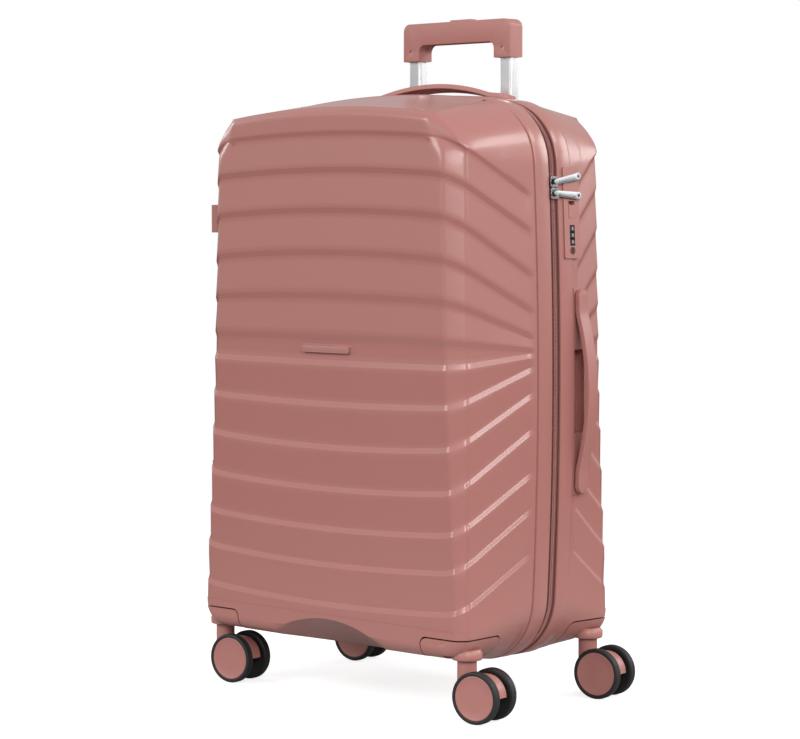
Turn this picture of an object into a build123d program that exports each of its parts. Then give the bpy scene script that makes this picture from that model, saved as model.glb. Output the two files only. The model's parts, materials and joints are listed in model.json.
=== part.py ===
import os
from math import atan2, cos, degrees, hypot, radians, sin

from build123d import *

os.makedirs("parts", exist_ok=True)

# Outline of the case at the zip, seen from the front
SEAM_HALF_W = 211.5
SEAM_TOP = 670.5
SEAM_BOTTOM = 45.0
SEAM_SIDE_BOW = 10.5
SEAM_TOP_BOW = 18.0
SEAM_BOTTOM_BOW = 8.0
SEAM_CORNER_R = 75.0

# Outline of the front and rear faces, drawn in from the outline at the zip
FACE_TOP_DRAFT = 17.5
FACE_SHOULDER_DRAFT = 24.5
FACE_MID_DRAFT = 21.0
FACE_FOOT_DRAFT = 10.0
FACE_BOTTOM_DRAFT = 22.0
FACE_TOP_BOW = 10.0
FACE_CHAMFER_W = 32.0
FACE_CHAMFER_H = 33.0
FACE_MID_Z = 388.0
FACE_EDGE_R = 16.0
FACE_CORNER_SPARE = 6.0
FACE_TOP = SEAM_TOP - FACE_TOP_DRAFT
FACE_BOTTOM = SEAM_BOTTOM + FACE_BOTTOM_DRAFT
FACE_HALF_W_TOP = SEAM_HALF_W - FACE_SHOULDER_DRAFT
FACE_HALF_W_MID = SEAM_HALF_W - FACE_MID_DRAFT
FACE_HALF_W_BOTTOM = SEAM_HALF_W - FACE_FOOT_DRAFT
FACE_BOTTOM_R = FACE_EDGE_R + FACE_CORNER_SPARE

# Depth of the two halves, front face at -Y
CASE_HALF_D = 126.0
FRONT_BAND_Y = -18.0
FRONT_EDGE_Y = 7.2
SEAM_GAP = 17.2
REAR_BAND_W = 20.6
FRONT_FACE_Y = -CASE_HALF_D
REAR_FACE_Y = CASE_HALF_D
REAR_EDGE_Y = FRONT_EDGE_Y + SEAM_GAP
REAR_BAND_Y = REAR_EDGE_Y + REAR_BAND_W
ZIP_Y = FRONT_EDGE_Y + SEAM_GAP / 2

# Shell wall and the groove behind the front band
WALL = 3.0
BAND_STEP = 1.0
GROOVE_W = 2.5
GROOVE_D = 1.8

# Ribs pressed into the shells: heights from the middle of the pattern, at the face and at the band
RIB_RISE = 0.5
RIB_AT_FACE = (13.0, 55.0, 99.0, 145.0, 189.0, 229.0)
RIB_AT_BAND = (3.0, 18.0, 46.0, 85.0, 132.0, 171.0)
LOW_RIB_AT_FACE = 273.0
LOW_RIB_AT_BAND = 220.0
RIB_ARCH = 8.0
RIB_W = 5.0
RIB_D = 1.0
RIB_CORNER = 14.0
RIB_BORDER = 9.0
RIB_MID_Z = FACE_MID_Z + RIB_RISE

# Clearances
SEAT_GAP = 0.35
SLIDE_GAP = 0.2
RUN_GAP = 0.05
PRESS_GAP = 0.02

# Zip
TAPE_W = 12.5
TAPE_T = 1.2
TAPE_GAP = 0.15
TAPE_INSET = WALL + TAPE_GAP
COIL_W = 3.1
COIL_INSET = 1.3
ZIP_GAP = 1.4
HINGE_FROM_BOTTOM = 107.0
HINGE_FROM_TOP = 114.5
HINGE_LOW_Z = SEAM_BOTTOM + HINGE_FROM_BOTTOM
HINGE_HIGH_Z = SEAM_TOP - HINGE_FROM_TOP

# Casters
STEM_IN_X = 25.0
STEM_IN_Y = 24.0
STEM_X = SEAM_HALF_W - STEM_IN_X
STEM_Y = CASE_HALF_D - STEM_IN_Y
CASTER_YAW = 8.0
TRAIL = 22.0
WHEEL_R = 28.0
TYRE_T = 3.7
TYRE_W = 9.4
TYRE_ROUND = 3.0
HUB_STEP = 0.3
HUB_SUNK = 0.6
FORK_R = 23.0
FORK_W = 15.0
STEM_R = 10.5
WHEEL_GAP = 1.1
KINGPIN_R = 4.0
AXLE_R = 3.0
AXLE_SUNK = 3.4
HUB_R = WHEEL_R - TYRE_T
TYRE_INNER = STEM_R + WHEEL_GAP
TYRE_OUTER = TYRE_INNER + TYRE_W
HUB_INNER = TYRE_INNER + HUB_STEP
HUB_OUTER = TYRE_OUTER - HUB_SUNK
AXLE_HALF = HUB_OUTER - AXLE_SUNK

# Wheel housings in the lower corners
HOUSING_W = 71.5
HOUSING_D = 67.0
HOUSING_RISE = 2.5
HOUSING_H = 18.0
HOUSING_ROUND = 8.0
BOSS_EDGE = 4.5
BOSS_H = 5.5
POCKET_EDGE = 3.0
HOUSING_X = SEAM_HALF_W - HOUSING_W
HOUSING_Y = CASE_HALF_D - HOUSING_D
HOUSING_BOTTOM = FACE_BOTTOM + HOUSING_RISE
HOUSING_TOP = HOUSING_BOTTOM + HOUSING_H
BOSS_R = STEM_R + BOSS_EDGE
BOSS_Z = HOUSING_BOTTOM - BOSS_H
POCKET_R = BOSS_R + POCKET_EDGE

# Scoop under the front face, between the wheel housings
SCOOP_MARGIN = 36.0
SCOOP_H = 26.0
SCOOP_RUN = 80.0
SCOOP_DROP = 41.0
SCOOP_HALF_W = HOUSING_X - SCOOP_MARGIN
SCOOP_TOP = FACE_BOTTOM + SCOOP_H

# Trolley tubes
TUBE_X = 70.0
TUBE_IN_Y = 25.0
TUBE_Y = CASE_HALF_D - TUBE_IN_Y
TUBE_W = 17.5
TUBE_D = 14.0
TUBE_WALL = 1.2
TUBE_ROUND = 3.0

# Trolley bezel in the top and bracket at the bottom of the tubes
BEZEL_EDGE = 27.0
BEZEL_FRONT = 12.5
BEZEL_REAR = 17.0
BEZEL_DEPTH = 30.5
BEZEL_HALF_W = TUBE_X + BEZEL_EDGE
BEZEL_FRONT_Y = TUBE_Y - BEZEL_FRONT
BEZEL_REAR_Y = TUBE_Y + BEZEL_REAR
BEZEL_LOW_Z = SEAM_TOP - BEZEL_DEPTH
BRACKET_EDGE = 20.0
BRACKET_RISE = 21.0
BRACKET_H = 24.0
BRACKET_SEAT = 8.0
BRACKET_HALF_W = TUBE_X + BRACKET_EDGE
BRACKET_LOW_Z = FACE_BOTTOM + BRACKET_RISE
BRACKET_HIGH_Z = BRACKET_LOW_Z + BRACKET_H

# Trolley grip, in the height the photo shows it raised to
GRIP_LIFT = 44.0
GRIP_LEG_H = 18.5
GRIP_BAR_H = 25.0
GRIP_EDGE = 11.5
GRIP_LEG_W = 24.0
GRIP_D = 26.0
GRIP_ROUND = 9.0
GRIP_HALF_W = TUBE_X + GRIP_EDGE
GRIP_LOW_Z = SEAM_TOP + GRIP_LIFT
GRIP_BAR_Z = GRIP_LOW_Z + GRIP_LEG_H
GRIP_TOP_Z = GRIP_BAR_Z + GRIP_BAR_H

# Ends of the tubes
TUBE_SEAT = 4.0
MIDDLE_PROUD = 11.0
OUTER_SUNK = 2.0
MIDDLE_RISE = 64.0
INNER_RISE = 80.0
OUTER_LOW_Z = BRACKET_LOW_Z + BRACKET_SEAT
OUTER_HIGH_Z = BEZEL_LOW_Z - OUTER_SUNK
MIDDLE_LOW_Z = OUTER_LOW_Z + MIDDLE_RISE
MIDDLE_HIGH_Z = BEZEL_LOW_Z + MIDDLE_PROUD
INNER_LOW_Z = MIDDLE_LOW_Z + INNER_RISE
INNER_HIGH_Z = GRIP_BAR_Z + TUBE_SEAT

# Trolley release: button, push rods, lock pins and grip screws
ROD_R = 1.5
ROD_BAR_HALF_H = 3.0
ROD_BAR_HALF_D = 3.5
ROD_BAR_RISE = 12.0
ROD_END_GAP = 1.0
BUTTON_HALF_W = 17.0
BUTTON_D = 11.0
BUTTON_RISE = 2.5
BUTTON_TRAVEL = 4.0
PIN_RISE = 12.0
PIN_R = 2.2
PIN_HEAD_R = 3.4
PIN_HEAD_T = 1.6
SCREW_RISE = 10.5
SCREW_R = 1.6
SCREW_HEAD_R = 3.0
SCREW_RECESS = 3.0
ROD_BAR_Z = GRIP_BAR_Z + ROD_BAR_RISE
PIN_Z = INNER_LOW_Z + PIN_RISE
SCREW_Z = GRIP_LOW_Z + SCREW_RISE

# Lining, trolley cover panel and straps
LINING_GAP = 0.4
LINING_T = 1.0
PANEL_IN = 17.0
PANEL_T = 2.0
PANEL_Y = TUBE_Y - PANEL_IN
STRAP_W = 25.0
STRAP_T = 1.2
STRAP_HALF_W = 150.0
STRAP_HALF_H = 200.0
BUCKLE_W = 46.0
BUCKLE_H = 60.0
BUCKLE_T = 7.0

# Lock on the right side: u runs up along it, w out of the case
LOCK_DROP = 130.5
LOCK_FROM_ZIP = 27.2
LOCK_Z = SEAM_TOP - LOCK_DROP
LOCK_Y = ZIP_Y + LOCK_FROM_ZIP
LOCK_W = 26.0
LOCK_PROUD = 1.6
LOCK_FLOOR = 0.8
LOCK_END = 4.3
LOCK_TOP_END = 9.5
LOCK_ROUND = 3.0
LOCK_BUTTON_W = 10.0
LOCK_BUTTON_L = 14.0
LOCK_BUTTON_TRAVEL = 4.0
BUTTON_WALL = 7.85
DIAL_R = 9.0
DIAL_T = 6.4
DIAL_PITCH = 7.2
DIAL_PROUD = 0.6
DIAL_SHAFT_R = 2.0
KEY_R = 4.2
KEY_WALL = 1.15
KEYWAY_W = 1.4
LATCH_T = 3.0
LATCH_SHIFT = 7.0
LATCH_HALF_W = 3.5
LATCH_END = 8.0
PULL_SLOT_L = 6.0
PULL_SLOT_W = 5.4
PULL_SLOT_D = 8.0
PULL_SLOT_IN = 5.5
PULL_SPREAD = 22.0
LOWER_PULL_U = LOCK_BUTTON_L / 2 + LOCK_BUTTON_TRAVEL + PULL_SLOT_IN
PULL_TIP_U = (LOWER_PULL_U + PULL_SPREAD, LOWER_PULL_U)
DIAL_RUN = 1.5 * DIAL_PITCH + SEAT_GAP
DIAL_U = -LOCK_BUTTON_L / 2 - BUTTON_WALL - DIAL_RUN
KEY_U = DIAL_U - DIAL_RUN - KEY_WALL - KEY_R
LOCK_LOW = KEY_U - KEY_R - LOCK_END
LOCK_HIGH = PULL_TIP_U[0] + LOCK_TOP_END
LOCK_DEPTH = 2 * DIAL_R - LOCK_PROUD - DIAL_PROUD + 2 * SLIDE_GAP + LOCK_FLOOR
LATCH_REACH = LOCK_HIGH - LATCH_END

# Zip sliders and pulls
SLIDER_HALF_L = 5.8
SLIDER_HALF_W = 5.8
SLIDER_PLATE_T = 1.9
SLIDER_GAP = 0.9
UPPER_PULL_SPLAY = 6.5
PULL_REACH = 14.0
PULL_W = 8.4
PULL_T = 1.5
PULL_PIN_W = 3.6
PULL_PIN_R = 0.85
PULL_EYE_R = 1.75
PULL_EYE_HALF_W = 2.9
EAR_T = 1.3
UPPER_SLIDER_U = PULL_TIP_U[0] - UPPER_PULL_SPLAY
SLIDER_U = (UPPER_SLIDER_U, UPPER_SLIDER_U - 2 * SLIDER_HALF_L - SLIDER_GAP)
PULL_TIP_Y = LOCK_Y + PULL_REACH

# Carry handles
HANDLE_LEN = 222.0
HANDLE_W = 22.0
HANDLE_T = 5.5
HANDLE_TAB = 26.0
HANDLE_LIFT = 5.0
HANDLE_CLEAR = 1.1
HANDLE_FROM_LOCK = 15.0
SIDE_HANDLE_DROP = 196.5
SIDE_HANDLE_RISE = 18.5
TOP_HANDLE_RISE = 16.5
HANDLE_Y = LOCK_Y + HANDLE_FROM_LOCK
SIDE_HANDLE_Z = LOCK_Z - SIDE_HANDLE_DROP
BASE_END = 2.0
BASE_EDGE = 2.5
BASE_PROUD = 0.8
BASE_T = 2.8
BASE_LEN = HANDLE_LEN + 2 * BASE_END
BASE_W = HANDLE_W + 2 * BASE_EDGE
RECESS_HALF_L = 46.0
RECESS_D = 9.0
RECESS_WALL = 1.6
PEG_W = 8.0
PEG_L = 9.0
PEG_FOOT_T = 1.5
PEG_FOOT_EDGE = 3.0

# Side feet and badge
FOOT_PROUD = 4.5
FOOT_IN_Y = 39.0
FOOT_W = 17.0
FOOT_H = 32.0
FOOT_ROUND = 3.0
FOOT_FROM_TOP = 138.5
FOOT_FROM_BOTTOM = 191.0
FOOT_TIP_X = SEAM_HALF_W + FOOT_PROUD
FOOT_Y = CASE_HALF_D - FOOT_IN_Y
FOOT_Z = (SEAM_TOP - FOOT_FROM_TOP, SEAM_BOTTOM + FOOT_FROM_BOTTOM)
BADGE_W = 72.0
BADGE_H = 9.0
BADGE_T = 1.6
BADGE_RISE = 2.0
BADGE_Z = FACE_MID_Z + BADGE_RISE
FAR = 1000.0
STAND = (Align.CENTER, Align.CENTER, Align.MIN)


def save(piece, name):
    piece.label = name
    export_step(piece, f"parts/{name}.step")


# Circle through the ends and the middle of a side of the seam outline
seam_high = SEAM_TOP - SEAM_TOP_BOW
seam_low = SEAM_BOTTOM + SEAM_BOTTOM_BOW
SEAM_MID_Z = (seam_high + seam_low) / 2
seam_half_h = (seam_high - seam_low) / 2
SIDE_R = (seam_half_h**2 + SEAM_SIDE_BOW**2) / (2 * SEAM_SIDE_BOW)


def side_bow(z):
    """How far the seam outline has drawn in from its widest, at height z."""
    return SIDE_R - (SIDE_R**2 - (z - SEAM_MID_Z) ** 2) ** 0.5


def at_y(y):
    """Plane across the case at depth y, seen from the front."""
    return Plane.XZ.offset(-y)


def seam_face(y, inset):
    """Barrel-sided outline of the case at the zip, drawn in by inset."""
    half_w = SEAM_HALF_W - inset
    corner_w = half_w - SEAM_SIDE_BOW
    top = SEAM_TOP - inset
    bottom = SEAM_BOTTOM + inset
    high = top - SEAM_TOP_BOW
    low = bottom + SEAM_BOTTOM_BOW
    with BuildSketch(at_y(y)) as face:
        with BuildLine():
            ThreePointArc((-corner_w, high), (0, top), (corner_w, high))
            ThreePointArc((corner_w, high), (half_w, SEAM_MID_Z), (corner_w, low))
            ThreePointArc((corner_w, low), (0, bottom), (-corner_w, low))
            ThreePointArc((-corner_w, low), (-half_w, SEAM_MID_Z), (-corner_w, high))
        make_face()
        fillet(face.vertices(), SEAM_CORNER_R - inset)
    return face.sketch


def end_face(y, inset):
    """Outline of a face of the case, with cut upper corners, drawn in by inset."""
    draw_in = inset * (2 - 2**0.5)
    side_top = FACE_HALF_W_TOP - inset
    side_mid = FACE_HALF_W_MID - inset
    side_low = FACE_HALF_W_BOTTOM - inset
    corner_x = side_top - FACE_CHAMFER_W + draw_in
    top = FACE_TOP - inset
    high = top - FACE_TOP_BOW
    shoulder = high - FACE_CHAMFER_H + draw_in
    bottom = FACE_BOTTOM + inset
    with BuildSketch(at_y(y)) as face:
        with BuildLine():
            ThreePointArc((-corner_x, high), (0, top), (corner_x, high))
            Line((corner_x, high), (side_top, shoulder))
            ThreePointArc((side_top, shoulder), (side_mid, FACE_MID_Z), (side_low, bottom))
            Line((side_low, bottom), (-side_low, bottom))
            ThreePointArc((-side_low, bottom), (-side_mid, FACE_MID_Z), (-side_top, shoulder))
            Line((-side_top, shoulder), (-corner_x, high))
        make_face()
        low_corners = face.vertices().group_by(Axis.Y)[0]
        fillet(low_corners, FACE_BOTTOM_R - inset / 2)
    return face.sketch


def front_hull(inset):
    """Solid outline of the front half, drawn in by inset."""
    face_y = FRONT_FACE_Y + inset
    body_y = FRONT_BAND_Y - GROOVE_W
    arch_w = SCOOP_HALF_W + inset
    arch_low = FACE_BOTTOM - 3 * WALL + inset
    with BuildPart() as hull:
        extrude(seam_face(FRONT_EDGE_Y, inset), amount=FRONT_EDGE_Y - FRONT_BAND_Y, dir=(0, -1, 0))
        extrude(seam_face(FRONT_BAND_Y, inset + GROOVE_D), amount=GROOVE_W, dir=(0, -1, 0))
        loft([seam_face(body_y, inset + BAND_STEP), end_face(face_y, inset)], ruled=True)
        rim = hull.faces().sort_by(Axis.Y)[0].edges()
        fillet(rim, FACE_EDGE_R - inset)
        with BuildSketch(at_y(FRONT_FACE_Y - WALL)) as arch:
            with BuildLine():
                ThreePointArc((-arch_w, arch_low), (0, SCOOP_TOP + inset), (arch_w, arch_low))
                Polyline((arch_w, arch_low), (arch_w, 0), (-arch_w, 0), (-arch_w, arch_low))
            make_face()
        extrude(amount=2 * SCOOP_RUN, dir=(0, SCOOP_RUN, -SCOOP_DROP), mode=Mode.SUBTRACT)
    return hull.part


def rear_hull(inset):
    """Solid outline of the rear half, drawn in by inset."""
    face_y = REAR_FACE_Y - inset
    with BuildPart() as hull:
        extrude(seam_face(REAR_EDGE_Y, inset), amount=REAR_BAND_Y - REAR_EDGE_Y, dir=(0, 1, 0))
        loft([seam_face(REAR_BAND_Y, inset + BAND_STEP), end_face(face_y, inset)], ruled=True)
        rim = hull.faces().sort_by(Axis.Y)[-1].edges()
        fillet(rim, FACE_EDGE_R - inset)
    return hull.part


def rib_grooves(face_y, band_y, core):
    """Grooves along the ribs of one half: arched bands on the face, slanted bands on both sides."""
    inward = 1 if band_y > face_y else -1
    corner_y = face_y + inward * RIB_CORNER
    border_y = band_y - inward * RIB_BORDER
    half_w = FACE_HALF_W_MID
    upper = zip(RIB_AT_FACE, RIB_AT_BAND)
    lower = zip(RIB_AT_FACE + (LOW_RIB_AT_FACE,), RIB_AT_BAND + (LOW_RIB_AT_BAND,))
    heights = [(1, *pair) for pair in upper] + [(-1, *pair) for pair in lower]
    with BuildPart() as grooves:
        for sign, at_face, at_band in heights:
            z_face = RIB_MID_Z + sign * at_face
            z_band = RIB_MID_Z + sign * at_band
            crown = sign * RIB_ARCH * min(1, at_face / RIB_AT_FACE[2])
            low = z_face - RIB_W / 2
            high = z_face + RIB_W / 2
            with BuildSketch(at_y(face_y)):
                with BuildLine():
                    ThreePointArc((-half_w, low), (0, low + crown), (half_w, low))
                    Polyline((half_w, low), (SEAM_HALF_W, low), (SEAM_HALF_W, high), (half_w, high))
                    ThreePointArc((half_w, high), (0, high + crown), (-half_w, high))
                    Polyline((-half_w, high), (-SEAM_HALF_W, high), (-SEAM_HALF_W, low), (-half_w, low))
                make_face()
            extrude(amount=RIB_CORNER, dir=(0, inward, 0))
            with BuildSketch(Plane.YZ):
                with BuildLine():
                    Polyline(
                        (corner_y, low),
                        (border_y, z_band - RIB_W / 2),
                        (border_y, z_band + RIB_W / 2),
                        (corner_y, high),
                        close=True,
                    )
                make_face()
            extrude(amount=SEAM_HALF_W, both=True)
        add(core, mode=Mode.SUBTRACT)
    return grooves.part


def ring(y_low, y_high, outer_inset, inner_inset):
    """Band that follows the seam outline between two depths."""
    with BuildPart() as band:
        extrude(seam_face(y_low, outer_inset), amount=y_high - y_low, dir=(0, 1, 0))
        extrude(seam_face(y_low, inner_inset), amount=y_high - y_low, dir=(0, 1, 0), mode=Mode.SUBTRACT)
    return band.part


def block(low, high, mode=Mode.ADD):
    """Box between two corners."""
    centre = tuple((a + b) / 2 for a, b in zip(low, high))
    with Locations(centre):
        return Box(*[b - a for a, b in zip(low, high)], mode=mode)


front_outer = front_hull(0)
rear_outer = rear_hull(0)
rear_skin = rear_outer.shells()[0]


def on_rear(start, direction):
    """Point and outward normal where a line from outside first meets the rear half."""
    line = Axis(start, direction)
    hits = rear_skin.find_intersection_points(line)
    point, normal = min(hits, key=lambda hit: (hit[0] - Vector(start)).length)
    return point, normal if normal.dot(line.direction) < 0 else normal * -1


# Planes of the carry handles: X along the handle, Z out of the case
top_point, top_out = on_rear((0, HANDLE_Y, FAR), (0, 0, -1))
side_point, side_out = on_rear((FAR, HANDLE_Y, SIDE_HANDLE_Z), (-1, 0, 0))
TOP_HANDLE = Plane(origin=top_point, x_dir=(1, 0, 0), z_dir=top_out)
SIDE_HANDLE = Plane(origin=side_point, x_dir=(0, 0, 1), z_dir=(side_out.X, side_out.Y, 0))

# Plane of the lock and zip sliders: X up the side, Y forward, Z out of the case
lock_lean = degrees(atan2(LOCK_Z - SEAM_MID_Z, SIDE_R))
LOCK = Plane(
    origin=(SEAM_HALF_W - side_bow(LOCK_Z), LOCK_Y, LOCK_Z),
    x_dir=(-sin(radians(lock_lean)), 0, cos(radians(lock_lean))),
    z_dir=(cos(radians(lock_lean)), 0, sin(radians(lock_lean))),
)


def wheel_zone(side, end, grow):
    """Corner of the case that a wheel housing fills, grown all round."""
    near_x = side * (HOUSING_X - grow)
    near_y = end * (HOUSING_Y - grow)
    top = HOUSING_TOP + grow
    with BuildPart() as zone:
        xs = sorted((near_x, side * FAR))
        ys = sorted((near_y, end * FAR))
        block((xs[0], ys[0], 0), (xs[1], ys[1], top))
        upper = zone.faces().sort_by(Axis.Z)[-1].edges()
        along_y = upper.filter_by(Axis.Y).sort_by(lambda edge: abs(edge.center().X))[0]
        along_x = upper.filter_by(Axis.X).sort_by(lambda edge: abs(edge.center().Y))[0]
        fillet([along_y, along_x], HOUSING_ROUND + grow)
    return zone.part


def handle_window(plane, grow, depth):
    """Space that a carry handle's base takes in the wall."""
    half_l = BASE_LEN / 2 + grow
    half_w = BASE_W / 2 + grow
    with BuildPart(plane) as window:
        block((-half_l, -half_w, -depth), (half_l, half_w, HANDLE_LEN / 10))
    return window.part


def lock_window(grow, depth):
    """Space that the lock takes in the wall."""
    half_w = LOCK_W / 2 + grow
    with BuildPart(LOCK) as window:
        block((LOCK_LOW - grow, -half_w, -depth), (LOCK_HIGH + grow, half_w, depth))
    return window.part


def bezel_zone(grow):
    """Space that the trolley bezel takes in the top."""
    half_w = BEZEL_HALF_W + grow
    with BuildPart() as zone:
        block(
            (-half_w, BEZEL_FRONT_Y - grow, BEZEL_LOW_Z - grow),
            (half_w, BEZEL_REAR_Y + grow, SEAM_TOP),
        )
    return zone.part


# Front shell
with BuildPart() as front_shell:
    add(front_outer)
    add(front_hull(WALL), mode=Mode.SUBTRACT)
    add(rib_grooves(FRONT_FACE_Y, FRONT_BAND_Y, front_hull(RIB_D)), mode=Mode.SUBTRACT)
    for side in (-1, 1):
        add(wheel_zone(side, -1, SEAT_GAP), mode=Mode.SUBTRACT)
save(front_shell.part, "front_shell")

# Rear shell
with BuildPart() as rear_shell:
    add(rear_outer)
    add(rear_hull(WALL), mode=Mode.SUBTRACT)
    add(rib_grooves(REAR_FACE_Y, REAR_BAND_Y, rear_hull(RIB_D)), mode=Mode.SUBTRACT)
    for side in (-1, 1):
        add(wheel_zone(side, 1, SEAT_GAP), mode=Mode.SUBTRACT)
    for plane in (TOP_HANDLE, SIDE_HANDLE):
        add(handle_window(plane, SEAT_GAP, RECESS_D + HANDLE_LIFT), mode=Mode.SUBTRACT)
    add(lock_window(SEAT_GAP, LOCK_W), mode=Mode.SUBTRACT)
    add(bezel_zone(SEAT_GAP), mode=Mode.SUBTRACT)
save(rear_shell.part, "rear_shell")

# Linings
lining_outer = WALL + LINING_GAP
lining_inner = lining_outer + LINING_T
tape_low = ZIP_Y - ZIP_GAP / 2 - TAPE_W
tape_high = ZIP_Y + ZIP_GAP / 2 + TAPE_W
with BuildPart() as front_lining:
    add(front_hull(lining_outer))
    add(front_hull(lining_inner), mode=Mode.SUBTRACT)
    block((-FAR, tape_low - LINING_GAP, 0), (FAR, FAR, FAR), mode=Mode.SUBTRACT)
    for side in (-1, 1):
        add(wheel_zone(side, -1, LINING_GAP), mode=Mode.SUBTRACT)
save(front_lining.part, "front_lining")

with BuildPart() as rear_lining:
    add(rear_hull(lining_outer))
    add(rear_hull(lining_inner), mode=Mode.SUBTRACT)
    block((-FAR, -FAR, 0), (FAR, tape_high + LINING_GAP, FAR), mode=Mode.SUBTRACT)
    block((-FAR, PANEL_Y - LINING_GAP, 0), (FAR, FAR, FAR), mode=Mode.SUBTRACT)
    for side in (-1, 1):
        add(wheel_zone(side, 1, LINING_GAP), mode=Mode.SUBTRACT)
    for plane in (TOP_HANDLE, SIDE_HANDLE):
        add(handle_window(plane, LINING_GAP, HANDLE_W), mode=Mode.SUBTRACT)
    add(lock_window(LINING_GAP, LOCK_W), mode=Mode.SUBTRACT)
save(rear_lining.part, "rear_lining")

# Panel over the trolley tubes, straps and buckle
with BuildPart() as trolley_cover:
    add(rear_hull(lining_outer))
    block((-FAR, PANEL_Y, 0), (FAR, PANEL_Y + PANEL_T, FAR), mode=Mode.INTERSECT)
    for side in (-1, 1):
        add(wheel_zone(side, 1, LINING_GAP), mode=Mode.SUBTRACT)
save(trolley_cover.part, "trolley_cover")

strap_len = 2 * hypot(STRAP_HALF_W, STRAP_HALF_H)
strap_lean = degrees(atan2(STRAP_HALF_H, STRAP_HALF_W))
strap_y = PANEL_Y - LINING_GAP
with BuildPart() as cross_straps:
    with BuildSketch(at_y(strap_y)):
        with Locations((0, SEAM_MID_Z)):
            Rectangle(strap_len, STRAP_W, rotation=strap_lean)
            Rectangle(strap_len, STRAP_W, rotation=-strap_lean)
    extrude(amount=STRAP_T, dir=(0, -1, 0))
save(cross_straps.part, "cross_straps")

with BuildPart() as strap_buckle:
    with BuildSketch(at_y(strap_y - STRAP_T - PRESS_GAP)):
        with Locations((0, SEAM_MID_Z)):
            RectangleRounded(BUCKLE_W, BUCKLE_H, BUCKLE_T)
    extrude(amount=BUCKLE_T, dir=(0, -1, 0))
    fillet(strap_buckle.faces().sort_by(Axis.Y)[0].edges(), BUCKLE_T / 4)
save(strap_buckle.part, "strap_buckle")

# Zip tapes, coils and the hinge tape
tape_inner = TAPE_INSET + TAPE_T
front_tape_y = (tape_low, ZIP_Y - ZIP_GAP / 2)
rear_tape_y = (ZIP_Y + ZIP_GAP / 2, tape_high)
for name, (y_low, y_high) in (("front", front_tape_y), ("rear", rear_tape_y)):
    with BuildPart() as tape:
        add(ring(y_low, y_high, TAPE_INSET, tape_inner))
        block((-FAR, -FAR, HINGE_LOW_Z - 1), (-SEAM_CORNER_R, FAR, HINGE_HIGH_Z + 1), mode=Mode.SUBTRACT)
    save(tape.part, f"{name}_zip_tape")
    coil_y = (y_high - COIL_W, y_high) if name == "front" else (y_low, y_low + COIL_W)
    with BuildPart() as coil:
        add(ring(*coil_y, COIL_INSET, TAPE_INSET - PRESS_GAP))
        block((-FAR, -FAR, HINGE_LOW_Z), (-SEAM_CORNER_R, FAR, HINGE_HIGH_Z), mode=Mode.SUBTRACT)
    save(coil.part, f"{name}_zip_coil")

with BuildPart() as hinge_tape:
    add(ring(tape_low, tape_high, TAPE_INSET, tape_inner))
    block((-FAR, -FAR, HINGE_LOW_Z), (-SEAM_CORNER_R, FAR, HINGE_HIGH_Z), mode=Mode.INTERSECT)
save(hinge_tape.part, "hinge_tape")

# Carry handles and their bases
base_skin = rear_hull(-BASE_PROUD)
base_under = rear_hull(BASE_T)
peg_x = (HANDLE_LEN - HANDLE_TAB) / 2
bend_x = HANDLE_LEN / 2 - HANDLE_TAB


def depth_at(plane, x):
    """Height of the wall over the handle's plane, at x along the handle."""
    start = plane.from_local_coords(Vector(x, 0, HANDLE_LEN))
    point, _ = on_rear(tuple(start), tuple(plane.z_dir * -1))
    return plane.to_local_coords(point).Z


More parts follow.
